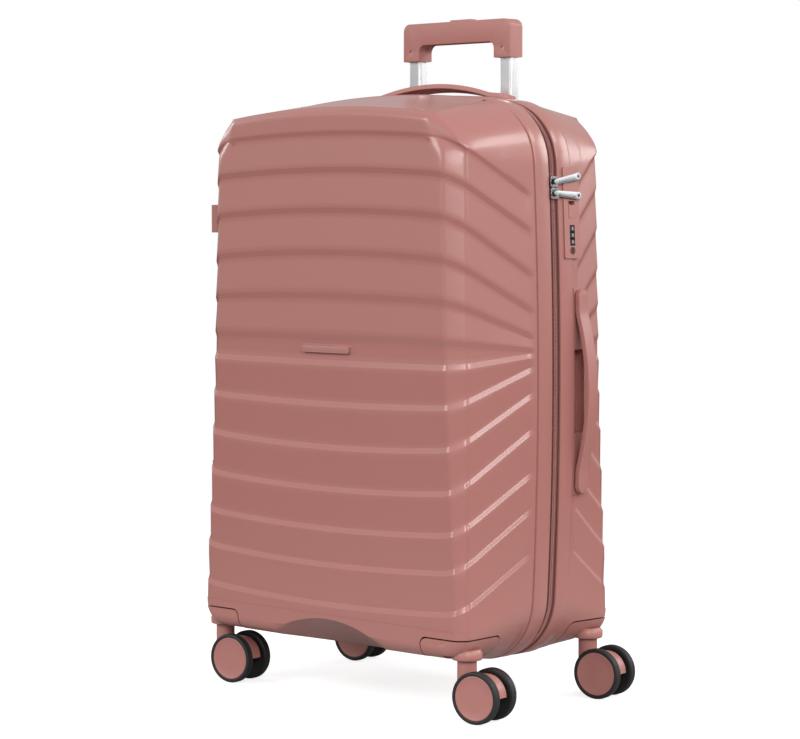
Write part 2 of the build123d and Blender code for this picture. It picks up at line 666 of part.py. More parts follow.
for name, plane, rise in (
    ("top", TOP_HANDLE, TOP_HANDLE_RISE),
    ("side", SIDE_HANDLE, SIDE_HANDLE_RISE),
):
    lift = BASE_PROUD + HANDLE_CLEAR
    tab_z = [depth_at(plane, x) + lift for x in (-HANDLE_LEN / 2, -bend_x, bend_x, HANDLE_LEN / 2)]
    foot_high = min(tab_z) - lift - BASE_T - HANDLE_LIFT - SEAT_GAP
    foot_low = foot_high - PEG_FOOT_T
    with BuildPart() as recess:
        add(base_skin)
        add(handle_window(plane, 0, RECESS_D + HANDLE_LIFT), mode=Mode.INTERSECT)
        add(base_under, mode=Mode.SUBTRACT)
    with BuildPart(plane) as bowl:
        half_l = RECESS_HALF_L + RECESS_WALL
        block((-half_l, -BASE_W / 2, -RECESS_D - RECESS_WALL), (half_l, BASE_W / 2, -BASE_T / 2))
    with BuildPart(plane) as hollow:
        half_w = BASE_W / 2 - RECESS_WALL
        block((-RECESS_HALF_L, -half_w, -RECESS_D), (RECESS_HALF_L, half_w, HANDLE_LEN / 10))
        for x in (-peg_x, peg_x):
            hole_l = PEG_L / 2 + SEAT_GAP
            hole_w = PEG_W / 2 + SEAT_GAP
            block((x - hole_l, -hole_w, foot_low), (x + hole_l, hole_w, HANDLE_LEN / 10))
    with BuildPart() as base:
        add(recess.part)
        add(bowl.part)
        add(hollow.part, mode=Mode.SUBTRACT)
    save(base.part, f"{name}_handle_base")

    profile = Plane(origin=plane.origin, x_dir=plane.x_dir, z_dir=plane.y_dir * -1)
    end = HANDLE_LEN / 2
    with BuildPart() as handle:
        with BuildSketch(profile):
            with BuildLine():
                Line((-end, tab_z[0]), (-bend_x, tab_z[1]))
                ThreePointArc((-bend_x, tab_z[1]), (0, rise - HANDLE_T), (bend_x, tab_z[2]))
                Line((bend_x, tab_z[2]), (end, tab_z[3]))
                Line((end, tab_z[3]), (end, tab_z[3] + HANDLE_T))
                Line((end, tab_z[3] + HANDLE_T), (bend_x, tab_z[2] + HANDLE_T))
                ThreePointArc((bend_x, tab_z[2] + HANDLE_T), (0, rise), (-bend_x, tab_z[1] + HANDLE_T))
                Line((-bend_x, tab_z[1] + HANDLE_T), (-end, tab_z[0] + HANDLE_T))
                Line((-end, tab_z[0] + HANDLE_T), (-end, tab_z[0]))
            make_face()
        extrude(amount=HANDLE_W / 2, both=True)
    with BuildPart(plane) as pegs:
        for x, z in ((-peg_x, tab_z[0]), (peg_x, tab_z[3])):
            block((x - PEG_L / 2, -PEG_W / 2, foot_low), (x + PEG_L / 2, PEG_W / 2, z + HANDLE_T / 2))
            half_l = PEG_L / 2 + PEG_FOOT_EDGE
            half_w = PEG_W / 2 + PEG_FOOT_EDGE
            block((x - half_l, -half_w, foot_low), (x + half_l, half_w, foot_high))
    with BuildPart() as whole_handle:
        add(handle.part)
        add(pegs.part)
    save(whole_handle.part, f"{name}_handle")


def side_foot(y, z):
    """Block with a rounded tip that reaches from inside the case to beyond its left side."""
    with BuildPart() as foot:
        block(
            (-FOOT_TIP_X, y - FOOT_W / 2, z - FOOT_H / 2),
            (-SEAM_HALF_W / 2, y + FOOT_W / 2, z + FOOT_H / 2),
        )
        fillet(foot.faces().sort_by(Axis.X)[0].edges(), FOOT_ROUND)
    return foot.part


# Side feet and badge
for name, end, hull in (("front", -1, front_outer), ("rear", 1, rear_outer)):
    with BuildPart() as feet:
        for z in FOOT_Z:
            add(side_foot(end * FOOT_Y, z))
        add(hull, mode=Mode.SUBTRACT)
    save(feet.part, f"{name}_side_feet")

with BuildPart() as badge:
    block(
        (-BADGE_W / 2, FRONT_FACE_Y - BADGE_T, BADGE_Z - BADGE_H / 2),
        (BADGE_W / 2, FRONT_FACE_Y, BADGE_Z + BADGE_H / 2),
    )
    fillet(badge.edges().filter_by(Axis.Y), BADGE_T)
save(badge.part, "badge_plate")

# Lock housing
dial_w = LOCK_PROUD + DIAL_PROUD - DIAL_R
latch_v = -LATCH_SHIFT
pocket_w = LOCK_PROUD - PULL_SLOT_D / 1.4
channel_w = pocket_w - LATCH_T - 2 * SEAT_GAP
button_low = -LOCK_BUTTON_L / 2
button_high = LOCK_BUTTON_L / 2


def lock_axis(u):
    """Plane across the dials' shaft, at u along the lock."""
    origin = LOCK.from_local_coords(Vector(u, 0, dial_w))
    return Plane(origin=origin, x_dir=LOCK.z_dir, z_dir=LOCK.x_dir)


with BuildPart(LOCK) as lock_body:
    block((LOCK_LOW, -LOCK_W / 2, -LOCK_DEPTH), (LOCK_HIGH, LOCK_W / 2, LOCK_PROUD))
    fillet(lock_body.edges().filter_by(Axis((0, 0, 0), LOCK.z_dir)), LOCK_ROUND)
    block(
        (button_low - SLIDE_GAP, -LOCK_BUTTON_W / 2 - SLIDE_GAP, pocket_w),
        (button_high + LOCK_BUTTON_TRAVEL + SLIDE_GAP, LOCK_BUTTON_W / 2 + SLIDE_GAP, LOCK_W),
        mode=Mode.SUBTRACT,
    )
    block(
        (button_low - SLIDE_GAP, latch_v - LATCH_HALF_W - SLIDE_GAP, channel_w),
        (LATCH_REACH + LOCK_BUTTON_TRAVEL + SLIDE_GAP, latch_v + LATCH_HALF_W + SLIDE_GAP, pocket_w),
        mode=Mode.SUBTRACT,
    )
    for u in PULL_TIP_U:
        block(
            (u - PULL_SLOT_W / 2, latch_v - PULL_SLOT_L / 2, LOCK_PROUD - PULL_SLOT_D),
            (u + PULL_SLOT_W / 2, latch_v + PULL_SLOT_L / 2, LOCK_W),
            mode=Mode.SUBTRACT,
        )
    with Locations((KEY_U, 0, LOCK_PROUD)):
        Cylinder(KEY_R + RUN_GAP, 1.5 * LOCK_DEPTH, mode=Mode.SUBTRACT)
with BuildPart() as lock_housing:
    add(lock_body.part)
    with BuildSketch(lock_axis(DIAL_U)):
        Circle(DIAL_R + 2 * SLIDE_GAP)
    extrude(amount=DIAL_RUN, both=True, mode=Mode.SUBTRACT)
    with BuildSketch(lock_axis(DIAL_U)):
        Circle(DIAL_SHAFT_R)
    extrude(amount=DIAL_RUN, both=True)
save(lock_housing.part, "lock_housing")

# Lock button with its latch
with BuildPart(LOCK) as lock_button:
    block(
        (button_low, -LOCK_BUTTON_W / 2, pocket_w + SLIDE_GAP),
        (button_high, LOCK_BUTTON_W / 2, LOCK_PROUD + 2 * SLIDE_GAP),
    )
    block(
        (button_low, latch_v - LATCH_HALF_W, channel_w + SLIDE_GAP),
        (LATCH_REACH, latch_v + LATCH_HALF_W, channel_w + SLIDE_GAP + LATCH_T),
    )
    block(
        (button_low, -LOCK_BUTTON_W / 2, channel_w + SLIDE_GAP),
        (button_high, latch_v + LATCH_HALF_W, LOCK_PROUD),
    )
save(lock_button.part, "lock_button")

# Lock dials and key cylinder
for i in range(3):
    with BuildPart() as dial:
        with BuildSketch(lock_axis(DIAL_U + (i - 1) * DIAL_PITCH)):
            Circle(DIAL_R)
            Circle(DIAL_SHAFT_R + RUN_GAP, mode=Mode.SUBTRACT)
        extrude(amount=DIAL_T / 2, both=True)
    save(dial.part, f"lock_dial_{i + 1}")

key_low = LOCK_PROUD - 0.75 * LOCK_DEPTH + SEAT_GAP
with BuildPart(LOCK) as lock_key:
    with Locations((KEY_U, 0, key_low)):
        Cylinder(KEY_R, LOCK_PROUD + SEAT_GAP - key_low, align=STAND)
    block(
        (KEY_U - KEY_R / 1.5, -KEYWAY_W / 2, LOCK_PROUD - KEY_R),
        (KEY_U + KEY_R / 1.5, KEYWAY_W / 2, LOCK_W),
        mode=Mode.SUBTRACT,
    )
save(lock_key.part, "lock_key_cylinder")

# Zip sliders and pulls
zip_v = LOCK_Y - ZIP_Y
plate_w = -COIL_INSET + 2 * SLIDE_GAP
under_w = -tape_inner - 2 * SLIDE_GAP
post_half_w = ZIP_GAP / 2 - SLIDE_GAP
ear_u = PULL_EYE_HALF_W + 3 * SLIDE_GAP
for name, u, tip_u in (
    ("upper", SLIDER_U[0], PULL_TIP_U[0]),
    ("lower", SLIDER_U[1], PULL_TIP_U[1]),
):
    sag = SIDE_R - (SIDE_R**2 - u**2) ** 0.5
    pin = Plane(
        origin=LOCK.from_local_coords(Vector(u, zip_v, PULL_PIN_W - sag)),
        x_dir=LOCK.z_dir,
        z_dir=LOCK.x_dir,
    )
    with BuildPart(LOCK) as slider_body:
        block(
            (u - SLIDER_HALF_L, zip_v - SLIDER_HALF_W, plate_w - sag),
            (u + SLIDER_HALF_L, zip_v + SLIDER_HALF_W, plate_w + SLIDER_PLATE_T - sag),
        )
        fillet(slider_body.edges().filter_by(Axis((0, 0, 0), LOCK.z_dir)), SLIDER_HALF_L / 3)
        block(
            (u - SLIDER_HALF_L / 2, zip_v - post_half_w, under_w - SLIDER_PLATE_T - sag),
            (u + SLIDER_HALF_L / 2, zip_v + post_half_w, plate_w + SLIDER_PLATE_T / 2 - sag),
        )
        block(
            (u - SLIDER_HALF_L, zip_v - SLIDER_HALF_W, under_w - SLIDER_PLATE_T - sag),
            (u + SLIDER_HALF_L, zip_v + SLIDER_HALF_W, under_w - sag),
        )
        for low in (u - ear_u - EAR_T, u + ear_u):
            block(
                (low, zip_v - PULL_EYE_R, plate_w - sag),
                (low + EAR_T, zip_v + PULL_EYE_R, PULL_PIN_W + PULL_EYE_R - sag),
            )
    with BuildPart() as slider:
        add(slider_body.part)
        with BuildSketch(pin):
            Circle(PULL_PIN_R)
        extrude(amount=ear_u + EAR_T / 2, both=True)
    save(slider.part, f"{name}_zip_slider")

    tab = Plane(
        origin=LOCK.from_local_coords(Vector(0, 0, PULL_PIN_W - sag)),
        x_dir=LOCK.x_dir,
        z_dir=LOCK.z_dir,
    )
    tip_v = LOCK_Y - PULL_TIP_Y
    with BuildPart() as pull:
        with BuildSketch(tab) as outline:
            with BuildLine():
                Polyline(
                    (u - PULL_EYE_HALF_W, zip_v),
                    (u + PULL_EYE_HALF_W, zip_v),
                    (tip_u + PULL_W / 2, tip_v),
                    (tip_u - PULL_W / 2, tip_v),
                    close=True,
                )
            make_face()
            fillet(outline.vertices().sort_by(Axis.Y)[:2], PULL_W / 3)
        extrude(amount=PULL_T / 2, both=True)
        with BuildSketch(pin):
            Circle(PULL_EYE_R)
        extrude(amount=PULL_EYE_HALF_W, both=True)
        with BuildSketch(pin):
            Circle(PULL_PIN_R + RUN_GAP)
        extrude(amount=PULL_W, both=True, mode=Mode.SUBTRACT)
        with BuildSketch(tab):
            with Locations((tip_u, tip_v + PULL_W / 2)):
                Circle(PULL_W / 5)
        extrude(amount=PULL_T, both=True, mode=Mode.SUBTRACT)
    save(pull.part, f"{name}_zip_pull")

# Trolley tubes, each pair telescoping in the next
MIDDLE_W = TUBE_W + 2 * (SLIDE_GAP + TUBE_WALL)
MIDDLE_D = TUBE_D + 2 * (SLIDE_GAP + TUBE_WALL)
OUTER_W = MIDDLE_W + 2 * (SLIDE_GAP + TUBE_WALL)
OUTER_D = MIDDLE_D + 2 * (SLIDE_GAP + TUBE_WALL)
grow_step = SLIDE_GAP + TUBE_WALL
pin_hole_y = TUBE_Y + TUBE_D / 2 - TUBE_WALL
grip_front_y = TUBE_Y - GRIP_D / 2
for name, wide, deep, rounding, low_z, high_z in (
    ("inner", TUBE_W, TUBE_D, TUBE_ROUND, INNER_LOW_Z, INNER_HIGH_Z),
    ("middle", MIDDLE_W, MIDDLE_D, TUBE_ROUND + grow_step, MIDDLE_LOW_Z, MIDDLE_HIGH_Z),
    ("outer", OUTER_W, OUTER_D, TUBE_ROUND + 2 * grow_step, OUTER_LOW_Z, OUTER_HIGH_Z),
):
    with BuildPart() as tubes:
        with BuildSketch(Plane.XY.offset(low_z)):
            with Locations((-TUBE_X, TUBE_Y), (TUBE_X, TUBE_Y)):
                RectangleRounded(wide, deep, rounding)
                RectangleRounded(
                    wide - 2 * TUBE_WALL,
                    deep - 2 * TUBE_WALL,
                    rounding - TUBE_WALL,
                    mode=Mode.SUBTRACT,
                )
        extrude(amount=high_z - low_z)
        if name == "inner":
            with BuildSketch(at_y(TUBE_Y)):
                with Locations((-TUBE_X, PIN_Z), (TUBE_X, PIN_Z)):
                    Circle(PIN_R + RUN_GAP)
            extrude(amount=TUBE_D, dir=(0, 1, 0), mode=Mode.SUBTRACT)
            with BuildSketch(at_y(TUBE_Y)):
                with Locations((-TUBE_X, SCREW_Z), (TUBE_X, SCREW_Z)):
                    Circle(SCREW_R + PRESS_GAP)
            extrude(amount=TUBE_D, dir=(0, -1, 0), mode=Mode.SUBTRACT)
    save(tubes.part, f"trolley_{name}_tubes")

# Spring pins at the lower end of the inner tubes
pin_head_y = pin_hole_y - SLIDE_GAP - PIN_HEAD_T
with BuildPart() as lock_pins:
    with BuildSketch(at_y(pin_head_y)):
        with Locations((-TUBE_X, PIN_Z), (TUBE_X, PIN_Z)):
            Circle(PIN_HEAD_R)
    extrude(amount=PIN_HEAD_T, dir=(0, 1, 0))
    with BuildSketch(at_y(pin_head_y)):
        with Locations((-TUBE_X, PIN_Z), (TUBE_X, PIN_Z)):
            Circle(PIN_R)
    extrude(amount=TUBE_Y + TUBE_D / 2 - SLIDE_GAP - pin_head_y, dir=(0, 1, 0))
save(lock_pins.part, "trolley_lock_pins")

# Push rods, joined by a bar inside the grip
rod_low_z = PIN_Z + PIN_HEAD_R + BUTTON_TRAVEL + ROD_END_GAP
with BuildPart() as push_rods:
    block(
        (-TUBE_X - ROD_BAR_HALF_D, TUBE_Y - ROD_BAR_HALF_D, ROD_BAR_Z - ROD_BAR_HALF_H),
        (TUBE_X + ROD_BAR_HALF_D, TUBE_Y + ROD_BAR_HALF_D, ROD_BAR_Z + ROD_BAR_HALF_H),
    )
    with BuildSketch(Plane.XY.offset(rod_low_z)):
        with Locations((-TUBE_X, TUBE_Y), (TUBE_X, TUBE_Y)):
            Circle(ROD_R)
    extrude(amount=ROD_BAR_Z - rod_low_z)
save(push_rods.part, "trolley_push_rods")

# Release button
button_z = ROD_BAR_Z + ROD_BAR_HALF_H + PRESS_GAP
with BuildPart() as trolley_button:
    block(
        (-BUTTON_HALF_W, TUBE_Y - BUTTON_D / 2, button_z),
        (BUTTON_HALF_W, TUBE_Y + BUTTON_D / 2, GRIP_TOP_Z + BUTTON_RISE),
    )
    fillet(trolley_button.edges().filter_by(Axis.Z), BUTTON_D / 4)
    fillet(trolley_button.faces().sort_by(Axis.Z)[-1].edges(), BUTTON_RISE / 2)
save(trolley_button.part, "trolley_button")

# Grip halves
gap_half_w = GRIP_HALF_W - GRIP_LEG_W
bar_low_z = ROD_BAR_Z - ROD_BAR_HALF_H - BUTTON_TRAVEL - 2 * SLIDE_GAP
for name, dir_y, edge_r in (("front", -1, GRIP_ROUND / 3), ("rear", 1, GRIP_ROUND / 1.5)):
    split_y = TUBE_Y + dir_y * PRESS_GAP
    with BuildPart() as grip:
        with BuildSketch(at_y(split_y)) as outline:
            with Locations((0, (GRIP_LOW_Z + GRIP_TOP_Z) / 2)):
                Rectangle(2 * GRIP_HALF_W, GRIP_TOP_Z - GRIP_LOW_Z)
            with Locations((0, (GRIP_LOW_Z + GRIP_BAR_Z) / 2)):
                Rectangle(2 * gap_half_w, GRIP_BAR_Z - GRIP_LOW_Z, mode=Mode.SUBTRACT)
            fillet(outline.vertices().filter_by_position(Axis.Y, GRIP_BAR_Z - 1, FAR), GRIP_ROUND)
        extrude(amount=GRIP_D / 2, dir=(0, dir_y, 0))
        outer = grip.faces().sort_by(Axis.Y)[0 if dir_y < 0 else -1]
        fillet(outer.edges(), edge_r)
        with BuildSketch(Plane.XY.offset(GRIP_LOW_Z)):
            with Locations((-TUBE_X, TUBE_Y), (TUBE_X, TUBE_Y)):
                RectangleRounded(TUBE_W + 2 * RUN_GAP, TUBE_D + 2 * RUN_GAP, TUBE_ROUND)
        extrude(amount=INNER_HIGH_Z - GRIP_LOW_Z + RUN_GAP, mode=Mode.SUBTRACT)
        half_l = TUBE_X + ROD_BAR_HALF_D + SLIDE_GAP
        half_d = ROD_BAR_HALF_D + SLIDE_GAP
        block(
            (-half_l, TUBE_Y - half_d, min(bar_low_z, INNER_HIGH_Z - 1)),
            (half_l, TUBE_Y + half_d, button_z + SLIDE_GAP),
            mode=Mode.SUBTRACT,
        )
        half_l = BUTTON_HALF_W + SLIDE_GAP
        half_d = BUTTON_D / 2 + SLIDE_GAP
        block(
            (-half_l, TUBE_Y - half_d, button_z - BUTTON_TRAVEL - SLIDE_GAP),
            (half_l, TUBE_Y + half_d, FAR),
            mode=Mode.SUBTRACT,
        )
        if name == "front":
            with BuildSketch(at_y(grip_front_y)):
                with Locations((-TUBE_X, SCREW_Z), (TUBE_X, SCREW_Z)):
                    Circle(SCREW_R + PRESS_GAP)
            extrude(amount=GRIP_D / 2, dir=(0, 1, 0), mode=Mode.SUBTRACT)
            with BuildSketch(at_y(grip_front_y)):
                with Locations((-TUBE_X, SCREW_Z), (TUBE_X, SCREW_Z)):
                    Circle(SCREW_HEAD_R + PRESS_GAP)
            extrude(amount=SCREW_RECESS, dir=(0, 1, 0), mode=Mode.SUBTRACT)
    save(grip.part, f"trolley_grip_{name}")

# Grip screws, into the front wall of the inner tubes
screw_y = grip_front_y + SCREW_RECESS
with BuildPart() as grip_screws:
    with BuildSketch(at_y(screw_y)):
        with Locations((-TUBE_X, SCREW_Z), (TUBE_X, SCREW_Z)):
            Circle(SCREW_HEAD_R)
    extrude(amount=SCREW_HEAD_R / 2, dir=(0, -1, 0))
    with BuildSketch(at_y(screw_y)):
        with Locations((-TUBE_X, SCREW_Z), (TUBE_X, SCREW_Z)):
            Circle(SCREW_R)
    extrude(amount=TUBE_Y - TUBE_D / 2 + TUBE_WALL - screw_y, dir=(0, 1, 0))
save(grip_screws.part, "trolley_grip_screws")

# Bezel in the top of the case and bracket under the outer tubes
with BuildPart() as bezel:
    add(rear_outer)
    add(bezel_zone(0), mode=Mode.INTERSECT)
    with BuildSketch(Plane.XY.offset(BEZEL_LOW_Z)):
        with Locations((-TUBE_X, TUBE_Y), (TUBE_X, TUBE_Y)):
            RectangleRounded(MIDDLE_W + 2 * SLIDE_GAP, MIDDLE_D + 2 * SLIDE_GAP, TUBE_ROUND)
    extrude(amount=SEAM_TOP - BEZEL_LOW_Z, mode=Mode.SUBTRACT)
save(bezel.part, "trolley_bezel")

with BuildPart() as bracket:
    block(
        (-BRACKET_HALF_W, BEZEL_FRONT_Y, BRACKET_LOW_Z),
        (BRACKET_HALF_W, REAR_FACE_Y - WALL - SEAT_GAP, BRACKET_HIGH_Z),
    )
    with BuildSketch(Plane.XY.offset(OUTER_LOW_Z - RUN_GAP)):
        with Locations((-TUBE_X, TUBE_Y), (TUBE_X, TUBE_Y)):
            RectangleRounded(OUTER_W + 2 * RUN_GAP, OUTER_D + 2 * RUN_GAP, TUBE_ROUND)
    extrude(amount=BRACKET_HIGH_Z, mode=Mode.SUBTRACT)
save(bracket.part, "trolley_bracket")

# Casters
kingpin_low = WHEEL_R + HUB_R - STEM_R
kingpin_high = HOUSING_TOP - WALL
yaw = radians(CASTER_YAW)
for end_name, end, hull in (("front", -1, front_outer), ("rear", 1, rear_outer)):
    for side_name, side in (("left", -1), ("right", 1)):
        name = f"{end_name}_{side_name}"
        stem = (side * STEM_X, end * STEM_Y)
        across = Plane(
            origin=(stem[0], stem[1], 0),
            x_dir=(cos(yaw), sin(yaw), 0),
            z_dir=(sin(yaw), -cos(yaw), 0),
        )

        with BuildPart() as housing:
            add(wheel_zone(side, end, 0))
            add(hull, mode=Mode.INTERSECT)
            with Locations((*stem, 0)):
                Cylinder(POCKET_R, HOUSING_BOTTOM, align=STAND, mode=Mode.SUBTRACT)
            for lead_x, lead_y in ((POCKET_R, 0), (0, POCKET_R)):
                xs = sorted((side * (STEM_X - lead_x), side * FAR))
                ys = sorted((end * (STEM_Y - lead_y), end * FAR))
                block((xs[0], ys[0], 0), (xs[1], ys[1], HOUSING_BOTTOM), mode=Mode.SUBTRACT)
            with Locations((*stem, BOSS_Z)):
                Cone(STEM_R + 1, BOSS_R, HOUSING_BOTTOM - BOSS_Z, align=STAND)
            with Locations((*stem, 0)):
                Cylinder(KINGPIN_R + RUN_GAP, kingpin_high + SEAT_GAP, align=STAND, mode=Mode.SUBTRACT)
        save(housing.part, f"{name}_wheel_housing")

        with BuildPart() as fork:
            with BuildSketch(across):
                with Locations((TRAIL, WHEEL_R)):
                    Circle(FORK_R)
                with Locations((TRAIL, WHEEL_R / 2)):
                    Rectangle(4 * FORK_R, WHEEL_R, mode=Mode.SUBTRACT)
                with Locations((TRAIL, WHEEL_R)):
                    Circle(3 * AXLE_R)
                with Locations((TRAIL / 2, WHEEL_R + FORK_R / 2)):
                    Rectangle(TRAIL, FORK_R)
            extrude(amount=FORK_W / 2, both=True)
            fork_top = BOSS_Z - SEAT_GAP
            with Locations((*stem, WHEEL_R)):
                Cylinder(STEM_R, fork_top - WHEEL_R, align=STAND)
            with Locations((*stem, kingpin_low)):
                Cylinder(KINGPIN_R + PRESS_GAP, HOUSING_TOP, align=STAND, mode=Mode.SUBTRACT)
            with BuildSketch(across):
                with Locations((TRAIL, WHEEL_R)):
                    Circle(AXLE_R + PRESS_GAP)
            extrude(amount=FORK_W, both=True, mode=Mode.SUBTRACT)
        save(fork.part, f"{name}_fork")

        with BuildPart() as pins:
            with Locations((*stem, kingpin_low + PRESS_GAP)):
                Cylinder(KINGPIN_R, kingpin_high - kingpin_low, align=STAND)
            with BuildSketch(across):
                with Locations((TRAIL, WHEEL_R)):
                    Circle(AXLE_R)
            extrude(amount=AXLE_HALF, both=True)
        save(pins.part, f"{name}_caster_pins")

        with BuildPart() as hubs:
            for out in (-1, 1):
                with BuildSketch(across.offset(out * HUB_INNER)):
                    with Locations((TRAIL, WHEEL_R)):
                        Circle(HUB_R)
                extrude(amount=out * (HUB_OUTER - HUB_INNER))
            with BuildSketch(across):
                with Locations((TRAIL, WHEEL_R)):
                    Circle(AXLE_R + RUN_GAP)
            extrude(amount=AXLE_HALF + SEAT_GAP, both=True, mode=Mode.SUBTRACT)
        save(hubs.part, f"{name}_wheel_hubs")

        with BuildPart() as tyres:
            for out in (-1, 1):
                with BuildSketch(across.offset(out * TYRE_INNER)):
                    with Locations((TRAIL, WHEEL_R)):
                        Circle(WHEEL_R)
                        Circle(HUB_R + PRESS_GAP, mode=Mode.SUBTRACT)
                extrude(amount=out * (TYRE_OUTER - TYRE_INNER))
            circles = tyres.edges().filter_by(GeomType.CIRCLE)
            fillet(circles.filter_by(lambda edge: edge.radius > (HUB_R + WHEEL_R) / 2), TYRE_ROUND)
        save(tyres.part, f"{name}_tyres")
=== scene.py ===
import json
import math

import bmesh
import bpy
import numpy as np
from mathutils import Matrix, Vector, noise


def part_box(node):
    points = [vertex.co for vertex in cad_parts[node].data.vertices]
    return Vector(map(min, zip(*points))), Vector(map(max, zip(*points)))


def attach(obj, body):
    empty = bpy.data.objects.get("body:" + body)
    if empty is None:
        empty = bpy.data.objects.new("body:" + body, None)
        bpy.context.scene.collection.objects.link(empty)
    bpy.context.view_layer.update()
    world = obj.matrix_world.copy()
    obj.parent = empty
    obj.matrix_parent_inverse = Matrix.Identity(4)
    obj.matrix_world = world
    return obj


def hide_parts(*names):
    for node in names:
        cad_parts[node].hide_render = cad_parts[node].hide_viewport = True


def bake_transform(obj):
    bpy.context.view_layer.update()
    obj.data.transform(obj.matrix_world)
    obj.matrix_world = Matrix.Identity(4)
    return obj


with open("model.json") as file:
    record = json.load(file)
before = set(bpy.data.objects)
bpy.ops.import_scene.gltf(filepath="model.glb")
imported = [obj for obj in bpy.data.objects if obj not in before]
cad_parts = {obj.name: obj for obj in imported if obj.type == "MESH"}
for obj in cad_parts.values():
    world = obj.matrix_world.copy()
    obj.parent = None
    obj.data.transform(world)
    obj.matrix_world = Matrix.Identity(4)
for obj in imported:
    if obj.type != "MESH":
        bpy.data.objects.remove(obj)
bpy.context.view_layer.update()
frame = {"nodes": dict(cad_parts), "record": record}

MM = 0.001

# Case outline in millimetres: the seam, then the front and rear faces
SEAM_HALF_W, SEAM_TOP, SEAM_BOTTOM = 211.5, 670.5, 45.0
SIDE_BOW, TOP_BOW, BOTTOM_BOW, SEAM_R = 10.5, 18.0, 8.0, 75.0
SEAM_MID = (SEAM_TOP - TOP_BOW + SEAM_BOTTOM + BOTTOM_BOW) / 2
FACE_TOP, FACE_BOW, CHAMFER_W, CHAMFER_H = 653.0, 10.0, 32.0, 33.0
FACE_TOP_W, FACE_MID_W, FACE_LOW_W = 187.0, 190.5, 201.5
FACE_MID, FACE_BOTTOM, FACE_CORNER_R = 388.0, 67.0, 22.0
FACE_HIGH = FACE_TOP - FACE_BOW
SHOULDER = FACE_HIGH - CHAMFER_H
FACE_Y, FRONT_BODY, REAR_BODY, BODY_INSET = 126.0, -16.5, 45.0, 1.0

# Bevel of the face edges: its reach at heights up the sides, then along the top
SIDE_BEVEL_Z, SIDE_BEVEL = (100.0, 150.0, 350.0, 600.0), (16.0, 12.0, 19.0, 22.0)
TOP_BEVEL, MITRE = 8.0, 9.0
BEVEL_SOFT, BEVEL_MITRE, BEVEL_FROM_Z, BEVEL_FULL_Z = 0.5, 1.5, 100.0, 170.0

# Softening of the upper corners: passes, rows below the top rows, and columns left out beside the seam
SOFTEN_PASSES, SOFTEN_BELOW, SOFTEN_START = 6, 5, 12

# Lap ribs: distance from the middle of the pattern, at the face and beside the seam
RIB_MID = 388.5
RIB_FACE = (13.0, 55.0, 99.0, 145.0, 189.0, 229.0)
RIB_SEAM = (3.0, 18.0, 46.0, 85.0, 132.0, 171.0)
LOW_RIB_FACE, LOW_RIB_SEAM = 273.0, 220.0
RIB_HALF_W, RIB_LIP, RIB_DEPTH, RIB_ARCH = 2.7, 0.35, 1.6, 8.0
RIB_START, RIB_FADE, RIB_BEND = 7.0, 8.0, 28.0

# Height at which the ribbed skin gives way to the CAD shell's foot, and how far the seam band runs past it
CUT_Z, BAND_SPARE = 96.0, 10.0

# Angles in degrees past which an edge stays crisp, on small pieces and on the shells
CRISP, SHELL_CRISP = 38.0, 60.0

# Distances in millimetres within which points are merged, in drawn skins and in CAD meshes
SKIN_MERGE, CAD_MERGE = 0.02, 0.005

# Distance round a window in which the skin's faces are cut
WINDOW_MARGIN = 15.0

# Profiles of the two mouths as (inset, y): from inside, round the edge, to the start of the ribbed wall
FRONT_RIM = (
    (3.0, -24.0), (3.0, 8.4), (2.8, 8.6), (0.8, 8.6), (0.25, 8.3), (0.0, 7.6),
    (0.0, -12.8), (0.25, -13.5), (0.9, -13.9), (2.0, -14.1), (2.0, -16.0), (1.5, -16.4),
)
REAR_RIM = (
    (3.0, 56.0), (3.0, 23.0), (2.8, 22.8), (0.8, 22.8), (0.25, 23.1), (0.0, 23.8),
    (0.0, 43.6), (0.25, 44.4), (0.6, 44.8),
)

# Planes of the lock and the carry handles: X along the piece, Z out of the case
LOCK = Matrix((
    (-0.043669, 0.0, 0.999046, 207.406 * MM),
    (0.0, -1.0, 0.0, 43.0 * MM),
    (0.999046, 0.0, 0.043669, 540.0 * MM),
    (0.0, 0.0, 0.0, 1.0),
))
TOP_HANDLE = Matrix((
    (1.0, 0.0, 0.0, 0.0),
    (0.0, 0.979877, 0.199604, 58.0 * MM),
    (0.0, -0.199604, 0.979877, 666.852 * MM),
    (0.0, 0.0, 0.0, 1.0),
))
SIDE_HANDLE = Matrix((
    (0.0, 0.225612, 0.974217, 207.485 * MM),
    (0.0, -0.974217, 0.225612, 58.0 * MM),
    (1.0, 0.0, 0.0, 343.5 * MM),
    (0.0, 0.0, 0.0, 1.0),
))


# Helpers for pieces and meshes

def add_object(name, data):
    """New object in the scene, at the origin."""
    obj = bpy.data.objects.new(name, data)
    bpy.context.scene.collection.objects.link(obj)
    return obj


def plain_mesh(obj):
    """Mesh of an object as its modifiers or letters make it."""
    return bpy.data.meshes.new_from_object(obj.evaluated_get(bpy.context.evaluated_depsgraph_get()))


def piece(name, mesh, body, finish, *nodes):
    """Object for a mesh in the part's frame, with a finish, riding on a body and standing for CAD nodes."""
    obj = add_object(name, mesh)
    mesh.materials.clear()
    mesh.materials.append(MATERIALS[finish])
    if body:
        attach(obj, body)
    if nodes:
        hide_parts(*nodes)
    return obj


def shade(bm, sharp):
    """Smooth faces, with edges sharper than an angle left crisp."""
    for face in bm.faces:
        face.smooth = True
    for edge in bm.edges:
        edge.smooth = len(edge.link_faces) == 2 and edge.calc_face_angle(0) < math.radians(sharp)


def to_mesh(bm, name, sharp=CRISP):
    """Mesh made from a bmesh in metres, which is then freed."""
    shade(bm, sharp)
    mesh = bpy.data.meshes.new(name)
    bm.to_mesh(mesh)
    bm.free()
    return mesh


